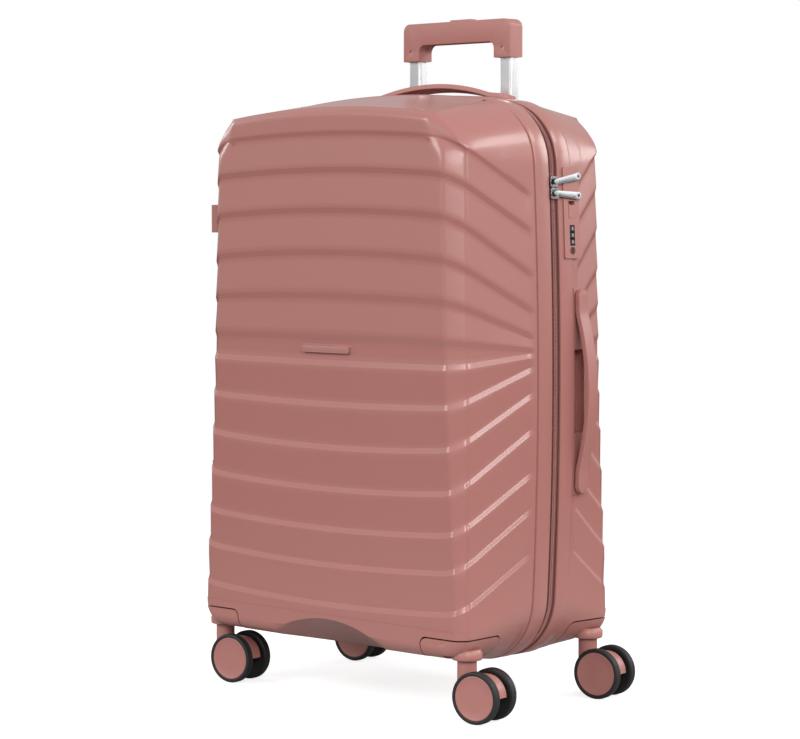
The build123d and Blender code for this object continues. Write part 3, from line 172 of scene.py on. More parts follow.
def placed(bm, place):
    """Moves a bmesh from millimetres in a plane's axes to metres in the part's frame."""
    bmesh.ops.transform(bm, matrix=place @ Matrix.Scale(MM, 4), verts=bm.verts)
    return bm


def joined(name, *parts):
    """One mesh from several bmeshes."""
    whole = bmesh.new()
    for part in parts:
        loose = bpy.data.meshes.new(name)
        part.to_mesh(loose)
        part.free()
        whole.from_mesh(loose)
        bpy.data.meshes.remove(loose)
    return to_mesh(whole, name)


def arc(cx, cy, r, start, end, n=6):
    """Points on an arc, by angles in degrees."""
    angles = np.radians(np.linspace(start, end, n + 1))
    return [(cx + r * math.cos(a), cy + r * math.sin(a)) for a in angles]


def rounded_rect(wide, tall, r, cx=0.0, cy=0.0):
    """Outline of a rectangle with rounded corners."""
    x, y = wide / 2 - r, tall / 2 - r
    corners = ((x, y, 0), (-x, y, 90), (-x, -y, 180), (x, -y, 270))
    return [p for a, b, turn in corners for p in arc(cx + a, cy + b, r, turn, turn + 90)]


def plate(outline, low, high, bevel, holes=()):
    """Flat plate with holes, between two heights, with its upper edge rounded."""
    bm = bmesh.new()
    for loop in (outline, *holes):
        verts = [bm.verts.new((x, y, low)) for x, y in loop]
        for a, b in zip(verts, verts[1:] + verts[:1]):
            bm.edges.new((a, b))
    bmesh.ops.triangle_fill(bm, edges=bm.edges[:], use_beauty=True, use_dissolve=False)
    flat = bm.faces[:]
    grown = bmesh.ops.extrude_face_region(bm, geom=flat)
    for vert in (v for v in grown["geom"] if isinstance(v, bmesh.types.BMVert)):
        vert.co.z = high
    bmesh.ops.recalc_face_normals(bm, faces=bm.faces)
    upper = [e for e in bm.edges if all(v.co.z > high - 1e-6 for v in e.verts)]
    rim = [e for e in upper if e.calc_face_angle(0) > 1.0]
    bmesh.ops.bevel(
        bm, geom=rim, offset=bevel, segments=3, profile=0.5, affect="EDGES", clamp_overlap=True)
    return bm


def lathe(profile, steps=72):
    """Solid of revolution about Z, from (radius, height) points listed from the low end to the high end."""
    bm = bmesh.new()
    verts = [bm.verts.new((r, 0, z)) for r, z in profile]
    edges = [bm.edges.new(pair) for pair in zip(verts, verts[1:])]
    bmesh.ops.spin(bm, geom=verts + edges, cent=(0, 0, 0), axis=(0, 0, 1), angle=2 * math.pi, steps=steps)
    bmesh.ops.remove_doubles(bm, verts=bm.verts, dist=1e-4)
    bmesh.ops.recalc_face_normals(bm, faces=bm.faces)
    return bm


def swept(stations):
    """Closed skin through a list of loops with the same number of points."""
    bm = bmesh.new()
    loops = [[bm.verts.new(p) for p in loop] for loop in stations]
    for a, b in zip(loops, loops[1:]):
        for k in range(len(a)):
            m = (k + 1) % len(a)
            bm.faces.new((a[k], a[m], b[m], b[k]))
    bm.faces.new(loops[0])
    bm.faces.new(loops[-1])
    bmesh.ops.recalc_face_normals(bm, faces=bm.faces)
    return bm


# Outlines of the case

def circle(p, q, r):
    """Centre and radius of the circle through three points."""
    (ax, ay), (bx, by), (cx, cy) = p, q, r
    d = 2 * (ax * (by - cy) + bx * (cy - ay) + cx * (ay - by))
    a, b, c = ax * ax + ay * ay, bx * bx + by * by, cx * cx + cy * cy
    x = (a * (by - cy) + b * (cy - ay) + c * (ay - by)) / d
    y = (a * (cx - bx) + b * (ax - cx) + c * (bx - ax)) / d
    return np.array((x, y)), math.hypot(ax - x, ay - y)


def meet(c, r, d, s, near):
    """Point where two circles meet, the one nearer to a given point."""
    gap = np.linalg.norm(d - c)
    along = (r * r - s * s + gap * gap) / (2 * gap)
    rise = math.sqrt(r * r - along * along)
    way = (d - c) / gap
    side = np.array((-way[1], way[0]))
    hits = [c + along * way + k * rise * side for k in (-1, 1)]
    return min(hits, key=lambda hit: np.linalg.norm(hit - near))


def touch(c, r, f):
    """Point of a circle in line with its centre and another point."""
    return c + r * (f - c) / np.linalg.norm(f - c)


def sweep(c, p, q, n=120):
    """Points along the arc about c from p to q."""
    a = math.atan2(p[1] - c[1], p[0] - c[0])
    b = math.atan2(q[1] - c[1], q[0] - c[0])
    b = a + (b - a + math.pi) % (2 * math.pi) - math.pi
    t = np.linspace(a, b, n)
    return c + np.linalg.norm(np.subtract(p, c)) * np.stack((np.cos(t), np.sin(t)), 1)


def seam_outline(inset):
    """Right half of the seam outline in three stretches: bottom, side with its corners, and top."""
    half, top, bottom, r = SEAM_HALF_W - inset, SEAM_TOP - inset, SEAM_BOTTOM + inset, SEAM_R - inset
    wide, high, low = half - SIDE_BOW, top - TOP_BOW, bottom + BOTTOM_BOW
    tc, tr = circle((-wide, high), (0, top), (wide, high))
    sc, sr = circle((wide, high), (half, SEAM_MID), (wide, low))
    bc, br = circle((wide, low), (0, bottom), (-wide, low))
    up = meet(tc, tr - r, sc, sr - r, np.array((wide, high)))
    down = meet(bc, br - r, sc, sr - r, np.array((wide, low)))
    side = np.concatenate((
        sweep(down, touch(bc, br, down), touch(sc, sr, down)),
        sweep(sc, touch(sc, sr, down), touch(sc, sr, up)),
        sweep(up, touch(sc, sr, up), touch(tc, tr, up)),
    ))
    return sweep(bc, (0, bottom), touch(bc, br, down)), side, sweep(tc, touch(tc, tr, up), (0, top))


TOP_ARC = circle((CHAMFER_W - FACE_TOP_W, FACE_HIGH), (0, FACE_TOP), (FACE_TOP_W - CHAMFER_W, FACE_HIGH))
SIDE_ARC = circle((FACE_TOP_W, SHOULDER), (FACE_MID_W, FACE_MID), (FACE_LOW_W, FACE_BOTTOM))


def face_outline():
    """Right half of a face's outline, in the same stretches as the seam's side and top."""
    (tc, _), (sc, sr) = TOP_ARC, SIDE_ARC
    shoulder, corner_top = (FACE_TOP_W, SHOULDER), (FACE_TOP_W - CHAMFER_W, FACE_HIGH)
    z = FACE_BOTTOM + FACE_CORNER_R
    corner = np.array((sc[0] - math.sqrt((sr + FACE_CORNER_R) ** 2 - (z - sc[1]) ** 2), z))
    side = np.concatenate((
        sweep(corner, (corner[0], FACE_BOTTOM), touch(sc, sr, corner)),
        sweep(sc, touch(sc, sr, corner), shoulder),
        np.linspace(shoulder, corner_top, 120),
    ))
    return side, sweep(tc, corner_top, (0, FACE_TOP))


def soft_min(a, b, run=MITRE):
    """Smaller of two distances, with the mitre between them rounded."""
    h = np.clip(0.5 + 0.5 * (b - a) / run, 0, 1)
    return b + (a - b) * h - run * h * (1 - h)


def inside_face(x, z):
    """Distances of a point on the face from its side edge and from its top edge."""
    (tc, tr), (sc, sr) = TOP_ARC, SIDE_ARC
    side = sc[0] - np.sqrt(sr**2 - (z - sc[1]) ** 2) - x
    chamfer = ((FACE_TOP_W - x) * CHAMFER_H - (z - SHOULDER) * CHAMFER_W) / math.hypot(CHAMFER_W, CHAMFER_H)
    below = tc[1] + np.sqrt(tr**2 - x**2) - z
    return soft_min(side, chamfer), below


def edge_profile(z):
    """Profile of a face's edge for a reach of 1, as (inward, sunk): round at the foot, bevelled above."""
    turn = np.radians(np.linspace(0, 90, 12))
    bend = np.radians(np.linspace(0, 45, 6))
    near, far = BEVEL_SOFT * (1 - np.cos(bend)), 1 - BEVEL_SOFT * np.sin(bend)
    bevel = np.concatenate((near, far[::-1])), np.concatenate((far, near[::-1]))
    mix = np.clip((z - BEVEL_FROM_Z) / (BEVEL_FULL_Z - BEVEL_FROM_Z), 0, 1)
    return [(1 - mix) * a + mix * b for a, b in zip((1 - np.cos(turn), 1 - np.sin(turn)), bevel)]


# Shells

def blend_rows(a, b, n):
    """Rows between two rows of numbers, without the first."""
    return [tuple(p + (q - p) * v for p, q in zip(a, b)) for v in np.linspace(0, 1, n + 1)[1:]]


def rib_rows():
    """Rows of a shell's grid from the bottom up: height beside the seam and at the face, relief and arch."""
    lip = RIB_HALF_W + RIB_LIP
    bevel = RIB_HALF_W - RIB_LIP
    rise = ((0.0, 0.5), (bevel, 0.87), (RIB_HALF_W, 0.96), (lip, 1.0))
    step = [(-d, 1 - h) for d, h in rise[:0:-1]] + list(rise)

    def half(at_face, at_seam):
        rows = []
        for f, s in zip(at_face, at_seam):
            squeeze = min(1.0, s / (lip + 0.5))
            edge = [(s + d * squeeze, f + d, h) for d, h in step]
            if rows:
                rows += blend_rows(rows[-1], edge[0], 6)[:-1]
            rows += edge
        return [(s, f, h, RIB_ARCH * min(1.0, f / RIB_FACE[2])) for s, f, h in rows]

    down = half(RIB_FACE + (LOW_RIB_FACE,), RIB_SEAM + (LOW_RIB_SEAM,))
    rows = [(RIB_MID - s, RIB_MID - f, h, -arch) for s, f, h, arch in reversed(down)]
    rows += [(RIB_MID + s, RIB_MID + f, 0.0, 0.0) for s, f in ((-0.2, -3.0), (0.2, 3.0))]
    rows += [(RIB_MID + s, RIB_MID + f, h, arch) for s, f, h, arch in half(RIB_FACE, RIB_SEAM)]
    foot = (CUT_Z - RIB_FADE, CUT_Z - RIB_FADE, 1.0, 0.0)
    return [foot] + blend_rows(foot, rows[0], 14)[:-1] + rows


def shell_grids(body_y, face_y, rim):
    """Right half of a shell's skin as two grids of points: the side with the face, and the top."""
    way = math.copysign(1.0, face_y)
    deep = abs(face_y - body_y)
    side_a, top_a = seam_outline(BODY_INSET)[1:]
    side_f, top_f = face_outline()
    rims = [(*seam_outline(inset)[1:], y) for inset, y in rim]
    index = np.arange(len(top_a))
    rib_run = deep - RIB_START
    across = np.linspace(1, 0, 36)[1:]
    wall = np.linspace(0, 1, 28)

    def section(gap, a, f):
        return f + (a - f) * gap / deep

    def width(gap, z):
        line = section(gap, side_a, side_f)
        return np.interp(z, line[:, 1], line[:, 0])

    def ease(gap):
        bent = (gap + RIB_BEND) ** 2 / (4 * RIB_BEND)
        return np.where(gap < -RIB_BEND, 0, np.where(gap < RIB_BEND, bent, gap))

    def rib_path(z_seam, z_face, arch):
        lean = (z_face - z_seam) / rib_run

        def on_wall(gap):
            return z_face - lean * ease(np.minimum(gap, rib_run))

        def on_face(gap, u):
            return z_face - lean * ease(-gap) + arch * (1 - u * u)

        return on_wall, on_face

    def crown_wall(gap):
        return section(gap, side_a[-1, 1], side_f[-1, 1])

    def crown_z(x):
        line = section(TOP_BEVEL, top_a, top_f)
        return np.interp(x, line[::-1, 0], line[::-1, 1])

    def row(on_wall, on_face, crown):
        """One row: the rim, the wall, the rounded edge and the face, where crown blends it into the top."""
        z_corner = (1 - crown) * on_wall(0.0) + crown * FACE_HIGH
        x_corner = np.interp(z_corner, side_f[:, 1], side_f[:, 0])
        r = (1 - crown) * np.interp(z_corner, SIDE_BEVEL_Z, SIDE_BEVEL) + crown * TOP_BEVEL
        inward, sunk = edge_profile(z_corner)
        gaps = deep + (r - deep) * wall
        z_wall = (1 - crown) * on_wall(gaps) + crown * crown_wall(gaps)
        lines = [(np.interp(z_wall[0], side[:, 1], side[:, 0]), y, z_wall[0]) for side, _, y in rims]
        lines += [(width(g, z), face_y - way * g, z) for g, z in zip(gaps, z_wall)]
        draft = max(0.02, (lines[-1][0] - x_corner) / r)
        on_chamfer = np.clip((z_corner - SHOULDER + MITRE) / (3 * MITRE), 0, 1)
        lean_in = r * (1 + (math.sqrt(2) - 1) * on_chamfer)
        x = x_corner + draft * r * sunk - lean_in * inward
        x = np.concatenate((x[1:], x[-1] * across))
        gap = np.concatenate((r * (sunk - inward)[1:], x[len(sunk) - 1:] - x_corner))
        u = np.minimum(1.0, x / x_corner)
        z = (1 - crown) * on_face(-gap, u) + crown * crown_z(x)
        levels = [-reach * np.interp(d / reach, inward - draft * sunk, sunk)
                  for d, reach in zip(inside_face(x, z), (r, TOP_BEVEL))]
        lines += zip(x, face_y + way * soft_min(*levels, BEVEL_MITRE), z)
        return np.array(lines)

    ribs = rib_rows()
    grid = [row(*rib_path(s, f, arch), 0.0) for s, f, _, arch in ribs]
    last = rib_path(ribs[-1][0], ribs[-1][1], ribs[-1][3])
    crowns = 1 - np.linspace(1, 0, 25)[1:] ** 1.7
    grid = np.array(grid + [row(*last, c) for c in crowns])
    relief = np.array([h for _, _, h, _ in ribs] + [1.0] * len(crowns))

    # Softens the creases of the upper corners
    crown = np.s_[-len(crowns) - SOFTEN_BELOW:-2, len(rims) + SOFTEN_START:-1]
    for _ in range(SOFTEN_PASSES):
        around = sum(np.roll(grid, step, axis) for step in (1, -1) for axis in (0, 1)) / 4
        grid[crown] = (grid[crown] + around[crown]) / 2

    edge = len(rims) + len(wall) - 1
    roof = [grid[-1, :edge + 1]]
    reach = section(TOP_BEVEL, top_a, top_f)
    for x in grid[-1, edge + 1:, 0]:
        i = np.interp(x, reach[::-1, 0], index[::-1])
        near, far = ([np.interp(i, index, line[:, k]) for k in (0, 1)] for line in (top_a, top_f))
        lines = [(np.interp(i, index, top[:, 0]), y, np.interp(i, index, top[:, 1])) for _, top, y in rims]
        for g in deep + (TOP_BEVEL - deep) * wall:
            lines.append((section(g, near[0], far[0]), face_y - way * g, section(g, near[1], far[1])))
        roof.append(np.array(lines))
    roof = np.array(roof)
    grid[-1, edge + 1:] = roof[1:, -1]

    # Sinks the laps along the skin's normals, with the border by the seam left level
    normal = np.cross(np.gradient(grid, axis=1), np.gradient(grid, axis=0)) * way
    normal /= np.maximum(1e-9, np.linalg.norm(normal, axis=2, keepdims=True))
    from_seam = np.abs(grid[..., 1] - body_y) * (np.arange(grid.shape[1]) >= len(rims))
    fade = np.clip((from_seam - RIB_START / 2) / RIB_FADE, 0, 1)
    grid -= normal * (RIB_DEPTH * (1 - relief)[:, None] * fade * fade * (3 - 2 * fade))[..., None]
    return grid, roof


def add_grid(bm, grid, flip):
    """Adds a grid of points in millimetres, and its mirror image in x, as quads."""
    for side in (1, -1):
        points = grid * np.array((side * MM, MM, MM))
        verts = [[bm.verts.new(p) for p in line] for line in points]
        for a, b in zip(verts, verts[1:]):
            for k in range(len(a) - 1):
                loop = (a[k], a[k + 1], b[k + 1], b[k])
                bm.faces.new(loop if (side > 0) != flip else loop[::-1])


def keep_side(bm, normal, level):
    """Cuts a mesh at a plane and keeps what lies behind it."""
    whole = bm.verts[:] + bm.edges[:] + bm.faces[:]
    where = Vector(normal) * level * MM
    bmesh.ops.bisect_plane(bm, geom=whole, plane_co=where, plane_no=normal, clear_outer=True)


def open_window(bm, place, low, high):
    """Cuts a box-shaped window, given in millimetres in a plane's axes, out of a skin."""
    inside = place.inverted()

    def spot(face):
        return inside @ face.calc_center_median() / MM

    def near(face):
        p = spot(face)
        return all(low[k] - WINDOW_MARGIN < p[k] < high[k] + WINDOW_MARGIN for k in range(3))

    for k in (0, 1):
        for level in (low[k], high[k]):
            faces = [face for face in bm.faces if near(face)]
            geom = list({e for f in faces for e in f.edges} | {v for f in faces for v in f.verts}) + faces
            at = Vector((0, 0, 0))
            at[k] = level * MM
            axis = place.to_3x3().col[k]
            bmesh.ops.bisect_plane(bm, geom=geom, plane_co=place @ at, plane_no=axis)
    gone = [face for face in bm.faces if all(low[k] < spot(face)[k] < high[k] for k in range(3))]
    bmesh.ops.delete(bm, geom=gone, context="FACES")


def shell_mesh(node, body_y, face_y, rim, windows=()):
    """Skin of a shell with its ribs, over the foot of the CAD shell with its cut-outs for the wheels."""
    grid, roof = shell_grids(body_y, face_y, rim)
    bm = bmesh.new()
    add_grid(bm, grid, face_y > 0)
    add_grid(bm, roof, face_y < 0)
    bmesh.ops.remove_doubles(bm, verts=bm.verts, dist=SKIN_MERGE * MM)
    keep_side(bm, (0, 0, -1), -CUT_Z)
    for place, low, high in windows:
        open_window(bm, place, low, high)
    skin = to_mesh(bm, node + "_skin")
    bm = bmesh.new()
    bm.from_mesh(frame["nodes"][node].data)
    bmesh.ops.remove_doubles(bm, verts=bm.verts, dist=CAD_MERGE * MM)
    keep_side(bm, (0, -math.copysign(1, face_y), 0), -abs(rim[0][1]))
    lines = [(np.concatenate(seam_outline(inset)[:2]), y) for inset, y in rim + ((BODY_INSET, body_y),)]
    side = face_outline()[0]
    foot = np.concatenate((np.linspace((0, FACE_BOTTOM), side[0], 120), side))
    taper = (rim[0][1] - body_y) / (face_y - body_y)
    lines.append((lines[-1][0] + taper * (foot - lines[-1][0]), rim[0][1]))
    low = lines[0][0][:, 1] < CUT_Z + BAND_SPARE
    band = np.array([[(x, y, z) for x, z in line[low]] for line, y in lines])
    add_grid(bm, band.swapaxes(0, 1), face_y > 0)
    keep_side(bm, (0, 0, 1), CUT_Z)
    bm.from_mesh(skin)
    bpy.data.meshes.remove(skin)
    return to_mesh(bm, node + "_visual", SHELL_CRISP)


# Finishes

def node_group(name, inputs, outputs):
    """Empty shader group with named sockets, with its input and output nodes."""
    tree = bpy.data.node_groups.new(name, "ShaderNodeTree")
    for way, sockets in (("INPUT", inputs), ("OUTPUT", outputs)):
        for label, kind in sockets:
            tree.interface.new_socket(name=label, in_out=way, socket_type="NodeSocket" + kind)
    return tree, tree.nodes.new("NodeGroupInput").outputs, tree.nodes.new("NodeGroupOutput").inputs


def feed(tree, socket, value):
    """Links another node's output to a socket, or sets the socket to a value."""
    if isinstance(value, bpy.types.NodeSocket):
        tree.links.new(value, socket)
    else:
        socket.default_value = value


def calc(tree, operation, *values):
    """Output of a Math node on numbers or other outputs."""
    node = tree.nodes.new("ShaderNodeMath")
    node.operation = operation
    for socket, value in zip(node.inputs, values):
        feed(tree, socket, value)
    return node.outputs[0]


def scaled(tree, colour, factor):
    """A colour made lighter or darker by a factor."""
    node = tree.nodes.new("ShaderNodeVectorMath")
    node.operation = "SCALE"
    tree.links.new(colour, node.inputs[0])
    tree.links.new(factor, node.inputs["Scale"])
    return node.outputs["Vector"]


def object_point(tree):
    """Object coordinates, in metres."""
    return tree.nodes.new("ShaderNodeTexCoord").outputs["Object"]


def speckle(tree, scale, detail=2.0, point=None):
    """Noise of a given scale, from 0 to 1."""
    node = tree.nodes.new("ShaderNodeTexNoise")
    node.inputs["Detail"].default_value = detail
    tree.links.new(point or object_point(tree), node.inputs["Vector"])
    feed(tree, node.inputs["Scale"], scale)
    return node.outputs["Fac"]


def mottle_group():
    """A colour that drifts a little lighter and darker over the surface."""
    inputs = (("Colour", "Color"), ("Scale", "Float"), ("Amount", "Float"))
    tree, given, result = node_group("mottle", inputs, (("Colour", "Color"),))
    swing = calc(tree, "SUBTRACT", speckle(tree, given["Scale"], 3.0), 0.5)
    factor = calc(tree, "MULTIPLY_ADD", swing, given["Amount"], 1.0)
    tree.links.new(scaled(tree, given["Colour"], factor), result["Colour"])
    return tree


def pebble_group():
    """Height of the fine moulded grain of a plastic or rubber surface."""
    tree, given, result = node_group("pebble", (("Scale", "Float"),), (("Height", "Float"),))
    cell = tree.nodes.new("ShaderNodeTexVoronoi")
    tree.links.new(object_point(tree), cell.inputs["Vector"])
    tree.links.new(given["Scale"], cell.inputs["Scale"])
    grain = speckle(tree, calc(tree, "MULTIPLY", given["Scale"], 0.6))
    tree.links.new(calc(tree, "MULTIPLY_ADD", cell.outputs["Distance"], 0.5, grain), result["Height"])
    return tree


def weave_group():
    """Height and shade of a plain weave, from two directions on the cloth in metres."""
    inputs = (("Along", "Float"), ("Across", "Float"), ("Threads", "Float"))
    tree, given, result = node_group("weave", inputs, (("Height", "Float"), ("Shade", "Float")))
    turns = calc(tree, "MULTIPLY", given["Threads"], math.pi)
    waves = [calc(tree, "SINE", calc(tree, "MULTIPLY", given[label], turns)) for label in ("Along", "Across")]
    height = calc(tree, "MULTIPLY_ADD", calc(tree, "MULTIPLY", *waves), 0.5, 0.5)
    slub = speckle(tree, 140.0)
    tree.links.new(calc(tree, "MULTIPLY_ADD", slub, 0.3, height), result["Height"])
    ground = calc(tree, "MULTIPLY_ADD", slub, 0.3, 0.65)
    tree.links.new(calc(tree, "MULTIPLY_ADD", height, 0.35, ground), result["Shade"])
    return tree


def brushed_group():
    """Streaks along the height, as on drawn and brushed metal."""
    tree, given, result = node_group("brushed", (("Fineness", "Float"),), (("Streak", "Float"),))
    stretch = tree.nodes.new("ShaderNodeMapping")
    stretch.inputs["Scale"].default_value = (1.0, 1.0, 0.015)
    tree.links.new(object_point(tree), stretch.inputs["Vector"])
    streak = speckle(tree, given["Fineness"], 3.0, stretch.outputs["Vector"])
    tree.links.new(streak, result["Streak"])
    return tree


MOTTLE, PEBBLE, WEAVE, BRUSHED = mottle_group(), pebble_group(), weave_group(), brushed_group()


def place_group(tree, group, **values):
    """Group node in a material, with its inputs set or linked."""
    node = tree.nodes.new("ShaderNodeGroup")
    node.node_tree = group
    for label, value in values.items():
        feed(tree, node.inputs[label], value)
    return node.outputs


def surface(name, roughness, metallic=0.0):
    """New material with a Principled shader."""
    material = bpy.data.materials.new(name)
    material.use_nodes = True
    shader = material.node_tree.nodes["Principled BSDF"].inputs
    shader["Roughness"].default_value = roughness
    shader["Metallic"].default_value = metallic
    return material, material.node_tree, shader


def emboss(tree, shader, height, depth):
    """Bump of a given depth in metres."""
    bump = tree.nodes.new("ShaderNodeBump")
    bump.inputs["Distance"].default_value = depth
    tree.links.new(height, bump.inputs["Height"])
    tree.links.new(bump.outputs["Normal"], shader["Normal"])


def moulded(name, colour, roughness, grain=900.0, depth=0.00002, coat=0.0, drift=0.06):
    """Moulded plastic or rubber: a mottled colour, a fine grain and patches of more and less gloss."""
    material, tree, shader = surface(name, roughness)
    tint = place_group(tree, MOTTLE, Colour=(*colour, 1), Scale=7.0, Amount=drift)
    tree.links.new(tint["Colour"], shader["Base Color"])
    gloss = calc(tree, "MULTIPLY_ADD", speckle(tree, 24.0), 0.1, roughness - 0.05)
    tree.links.new(gloss, shader["Roughness"])
    emboss(tree, shader, place_group(tree, PEBBLE, Scale=grain)["Height"], depth)
    shader["Coat Weight"].default_value = coat
    shader["Coat Roughness"].default_value = 0.12
    return material


def metal(name, colour, roughness, fineness=1800.0, spread=0.16):
    """Brushed or polished metal with streaks in its gloss."""
    material, tree, shader = surface(name, roughness, 1.0)
    tint = place_group(tree, MOTTLE, Colour=(*colour, 1), Scale=30.0, Amount=0.1)
    streak = place_group(tree, BRUSHED, Fineness=fineness)["Streak"]
    tree.links.new(tint["Colour"], shader["Base Color"])
    gloss = calc(tree, "MULTIPLY_ADD", streak, spread, roughness - spread / 2)
    tree.links.new(gloss, shader["Roughness"])
    emboss(tree, shader, streak, 0.00001)
    return material


def cloth(name, colour, threads, depth, on_uv=False, sheen=0.25):
    """Woven cloth, with its threads laid along the piece's own UV map or round the case."""
    material, tree, shader = surface(name, 0.85)
    parts = tree.nodes.new("ShaderNodeSeparateXYZ")
    if on_uv:
        tree.links.new(tree.nodes.new("ShaderNodeUVMap").outputs["UV"], parts.inputs["Vector"])
        along, across = parts.outputs["X"], parts.outputs["Y"]
    else:
        tree.links.new(object_point(tree), parts.inputs["Vector"])
        along = calc(tree, "ADD", parts.outputs["X"], parts.outputs["Y"])
        across = calc(tree, "MULTIPLY_ADD", parts.outputs["Y"], 0.6, parts.outputs["Z"])
    weave = place_group(tree, WEAVE, Along=along, Across=across, Threads=threads)
    tint = place_group(tree, MOTTLE, Colour=(*colour, 1), Scale=12.0, Amount=0.16)
    tree.links.new(scaled(tree, tint["Colour"], weave["Shade"]), shader["Base Color"])
    emboss(tree, shader, weave["Height"], depth)
    shader["Sheen Weight"].default_value = sheen
    return material


ROSE = (0.415, 0.172, 0.15)
# Rose darkened as painted shade: the zip tape's colour, standing in for the shadow lines at both sides of the
# zip
SHADE_DARKENED_ROSE = (0.2, 0.075, 0.065)
MATERIALS = {
    "shell": moulded("rose_polypropylene", ROSE, 0.3, grain=700.0, depth=0.000002, coat=0.16, drift=0.04),
    "trim": moulded("rose_soft_trim", ROSE, 0.42, grain=1500.0, depth=0.00003),
    "lining": cloth("grey_lining", (0.22, 0.19, 0.185), 900.0, 0.00008),
    "panel": cloth("grey_panel_cloth", (0.2, 0.175, 0.17), 700.0, 0.0001),
    "webbing": cloth("black_webbing", (0.016, 0.015, 0.016), 420.0, 0.0002, on_uv=True),
    "black_plastic": moulded("black_nylon", (0.012, 0.012, 0.012), 0.45),
    # Zip tape in painted shade: its dark colour stands in for the shadow lines beside the zip, and the cloth
    # hinge shares this finish
    "zip_tape": cloth("rose_tape_painted_shade", SHADE_DARKENED_ROSE, 900.0, 0.0001, on_uv=True),
    "zip_coil": moulded("rose_coil", ROSE, 0.45),
    "badge": moulded("bare_badge", (0.45, 0.21, 0.187), 0.24, coat=0.4),
    "lock_button": moulded("rose_button", ROSE, 0.4, grain=1500.0),
    "dial": moulded("black_dial", (0.01, 0.01, 0.01), 0.42),
    "digit": moulded("white_digit", (0.75, 0.75, 0.74), 0.5),
    "key": metal("key_metal", (0.2, 0.12, 0.11), 0.35),
    "slider": metal("slider_metal", (0.55, 0.55, 0.56), 0.2),
    "pull": metal("pull_metal", (0.5, 0.51, 0.52), 0.4),
    "tube": metal("drawn_aluminium", (0.75, 0.75, 0.76), 0.3),
    "steel": metal("steel", (0.5, 0.5, 0.51), 0.3),
    "housing": moulded("rose_housing", ROSE, 0.4, grain=1300.0, depth=0.00003),
    "fork": moulded("rose_fork", ROSE, 0.42, grain=1300.0, depth=0.00003),
    "hub": moulded("rose_hub", ROSE, 0.4, grain=1300.0),
    "tyre": moulded("black_rubber", (0.009, 0.009, 0.009), 0.6, grain=800.0, depth=0.00005),
}
for part in frame["record"]["subparts"]:
    mesh = frame["nodes"][part["node"]].data
    mesh.materials.clear()
    mesh.materials.append(MATERIALS[part["material_slot"]])

# Shell pieces, the rear one with windows for the lock, the handle bases and the trolley bezel
FRAME_AXES = Matrix.Identity(4)
REAR_WINDOWS = (
    (LOCK, (-49.5, -11.5, -12.0), (46.5, 11.5, 8.0)),
    (SIDE_HANDLE, (-112.0, -12.5, -16.0), (112.0, 12.5, 10.0)),
    (TOP_HANDLE, (-112.0, -12.5, -12.0), (112.0, 12.5, 10.0)),
    (FRAME_AXES, (-95.0, 90.0, 630.0), (95.0, 116.5, 680.0)),
)
front_skin = shell_mesh("front_shell", FRONT_BODY, -FACE_Y, FRONT_RIM)
piece("front_shell_skin", front_skin, "lid", "shell", "front_shell")
rear_skin = shell_mesh("rear_shell", REAR_BODY, FACE_Y, REAR_RIM, REAR_WINDOWS)
piece("rear_shell_skin", rear_skin, "case", "shell", "rear_shell")

# Zip: tapes, coil teeth and the cloth hinge
HINGE_LOW, HINGE_HIGH, HINGE_BEND = 152.0, 556.0, 4.0
TAPE_INSET, COIL_INSET, COIL_PITCH = 3.75, 2.25, 1.4
FRONT_TAPE_Y, REAR_TAPE_Y, HINGE_Y = (2.6, 15.1), (16.5, 29.0), (2.6, 29.0)
FRONT_COIL_Y, REAR_COIL_Y = 14.3, 17.0
TOOTH = Vector((0.62, 1.3, 0.85))


def zip_path(inset):
    """Points (x, z) along the zip, from the hinge's top end over the case and under it to the lower end."""
    foot, side, roof = seam_outline(inset)
    half = np.concatenate((foot, side, roof))
    left = half * (-1, 1)
    start, end = ([(-np.interp(z, side[:, 1], side[:, 0]), z)] for z in (HINGE_HIGH, HINGE_LOW))
    above, below = left[half[:, 1] > HINGE_HIGH], left[half[:, 1] < HINGE_LOW]
    path = np.concatenate((start, above, half[::-1], below, end))
    apart = np.linalg.norm(np.diff(path, axis=0), axis=1) > 0.1
    return path[np.append(True, apart)]


def ribbon(grid):
    """Strip of cloth through rows of points in millimetres, with its UV map in metres of cloth."""
    bm = bmesh.new()
    uv = bm.loops.layers.uv.new("UVMap")
    verts = [[bm.verts.new(Vector(p) * MM) for p in line] for line in grid]
    along, across = (np.append(0, np.cumsum(np.linalg.norm(np.diff(line, axis=0), axis=1))) * MM
                     for line in (grid[:, 0], grid[0]))
    for j in range(len(verts) - 1):
        for k in range(len(verts[0]) - 1):
            spots = ((j, k), (j + 1, k), (j + 1, k + 1), (j, k + 1))
            face = bm.faces.new([verts[a][b] for a, b in spots])
            for loop, (a, b) in zip(face.loops, spots):
                loop[uv].uv = (along[a], across[b])
    return bm


def zip_tape(name, body, y_range, node):
    """Woven tape along the zip, stretched behind the edge of a shell, in a colour darkened as painted shade
    for the shadow lines beside the zip.
    """
    path = zip_path(TAPE_INSET)
    grid = np.array([[(x, y, z) for y in np.linspace(*y_range, 5)] for x, z in path])
    mesh = to_mesh(ribbon(grid), name)
    obj = piece(name, mesh, body, "zip_tape", node)


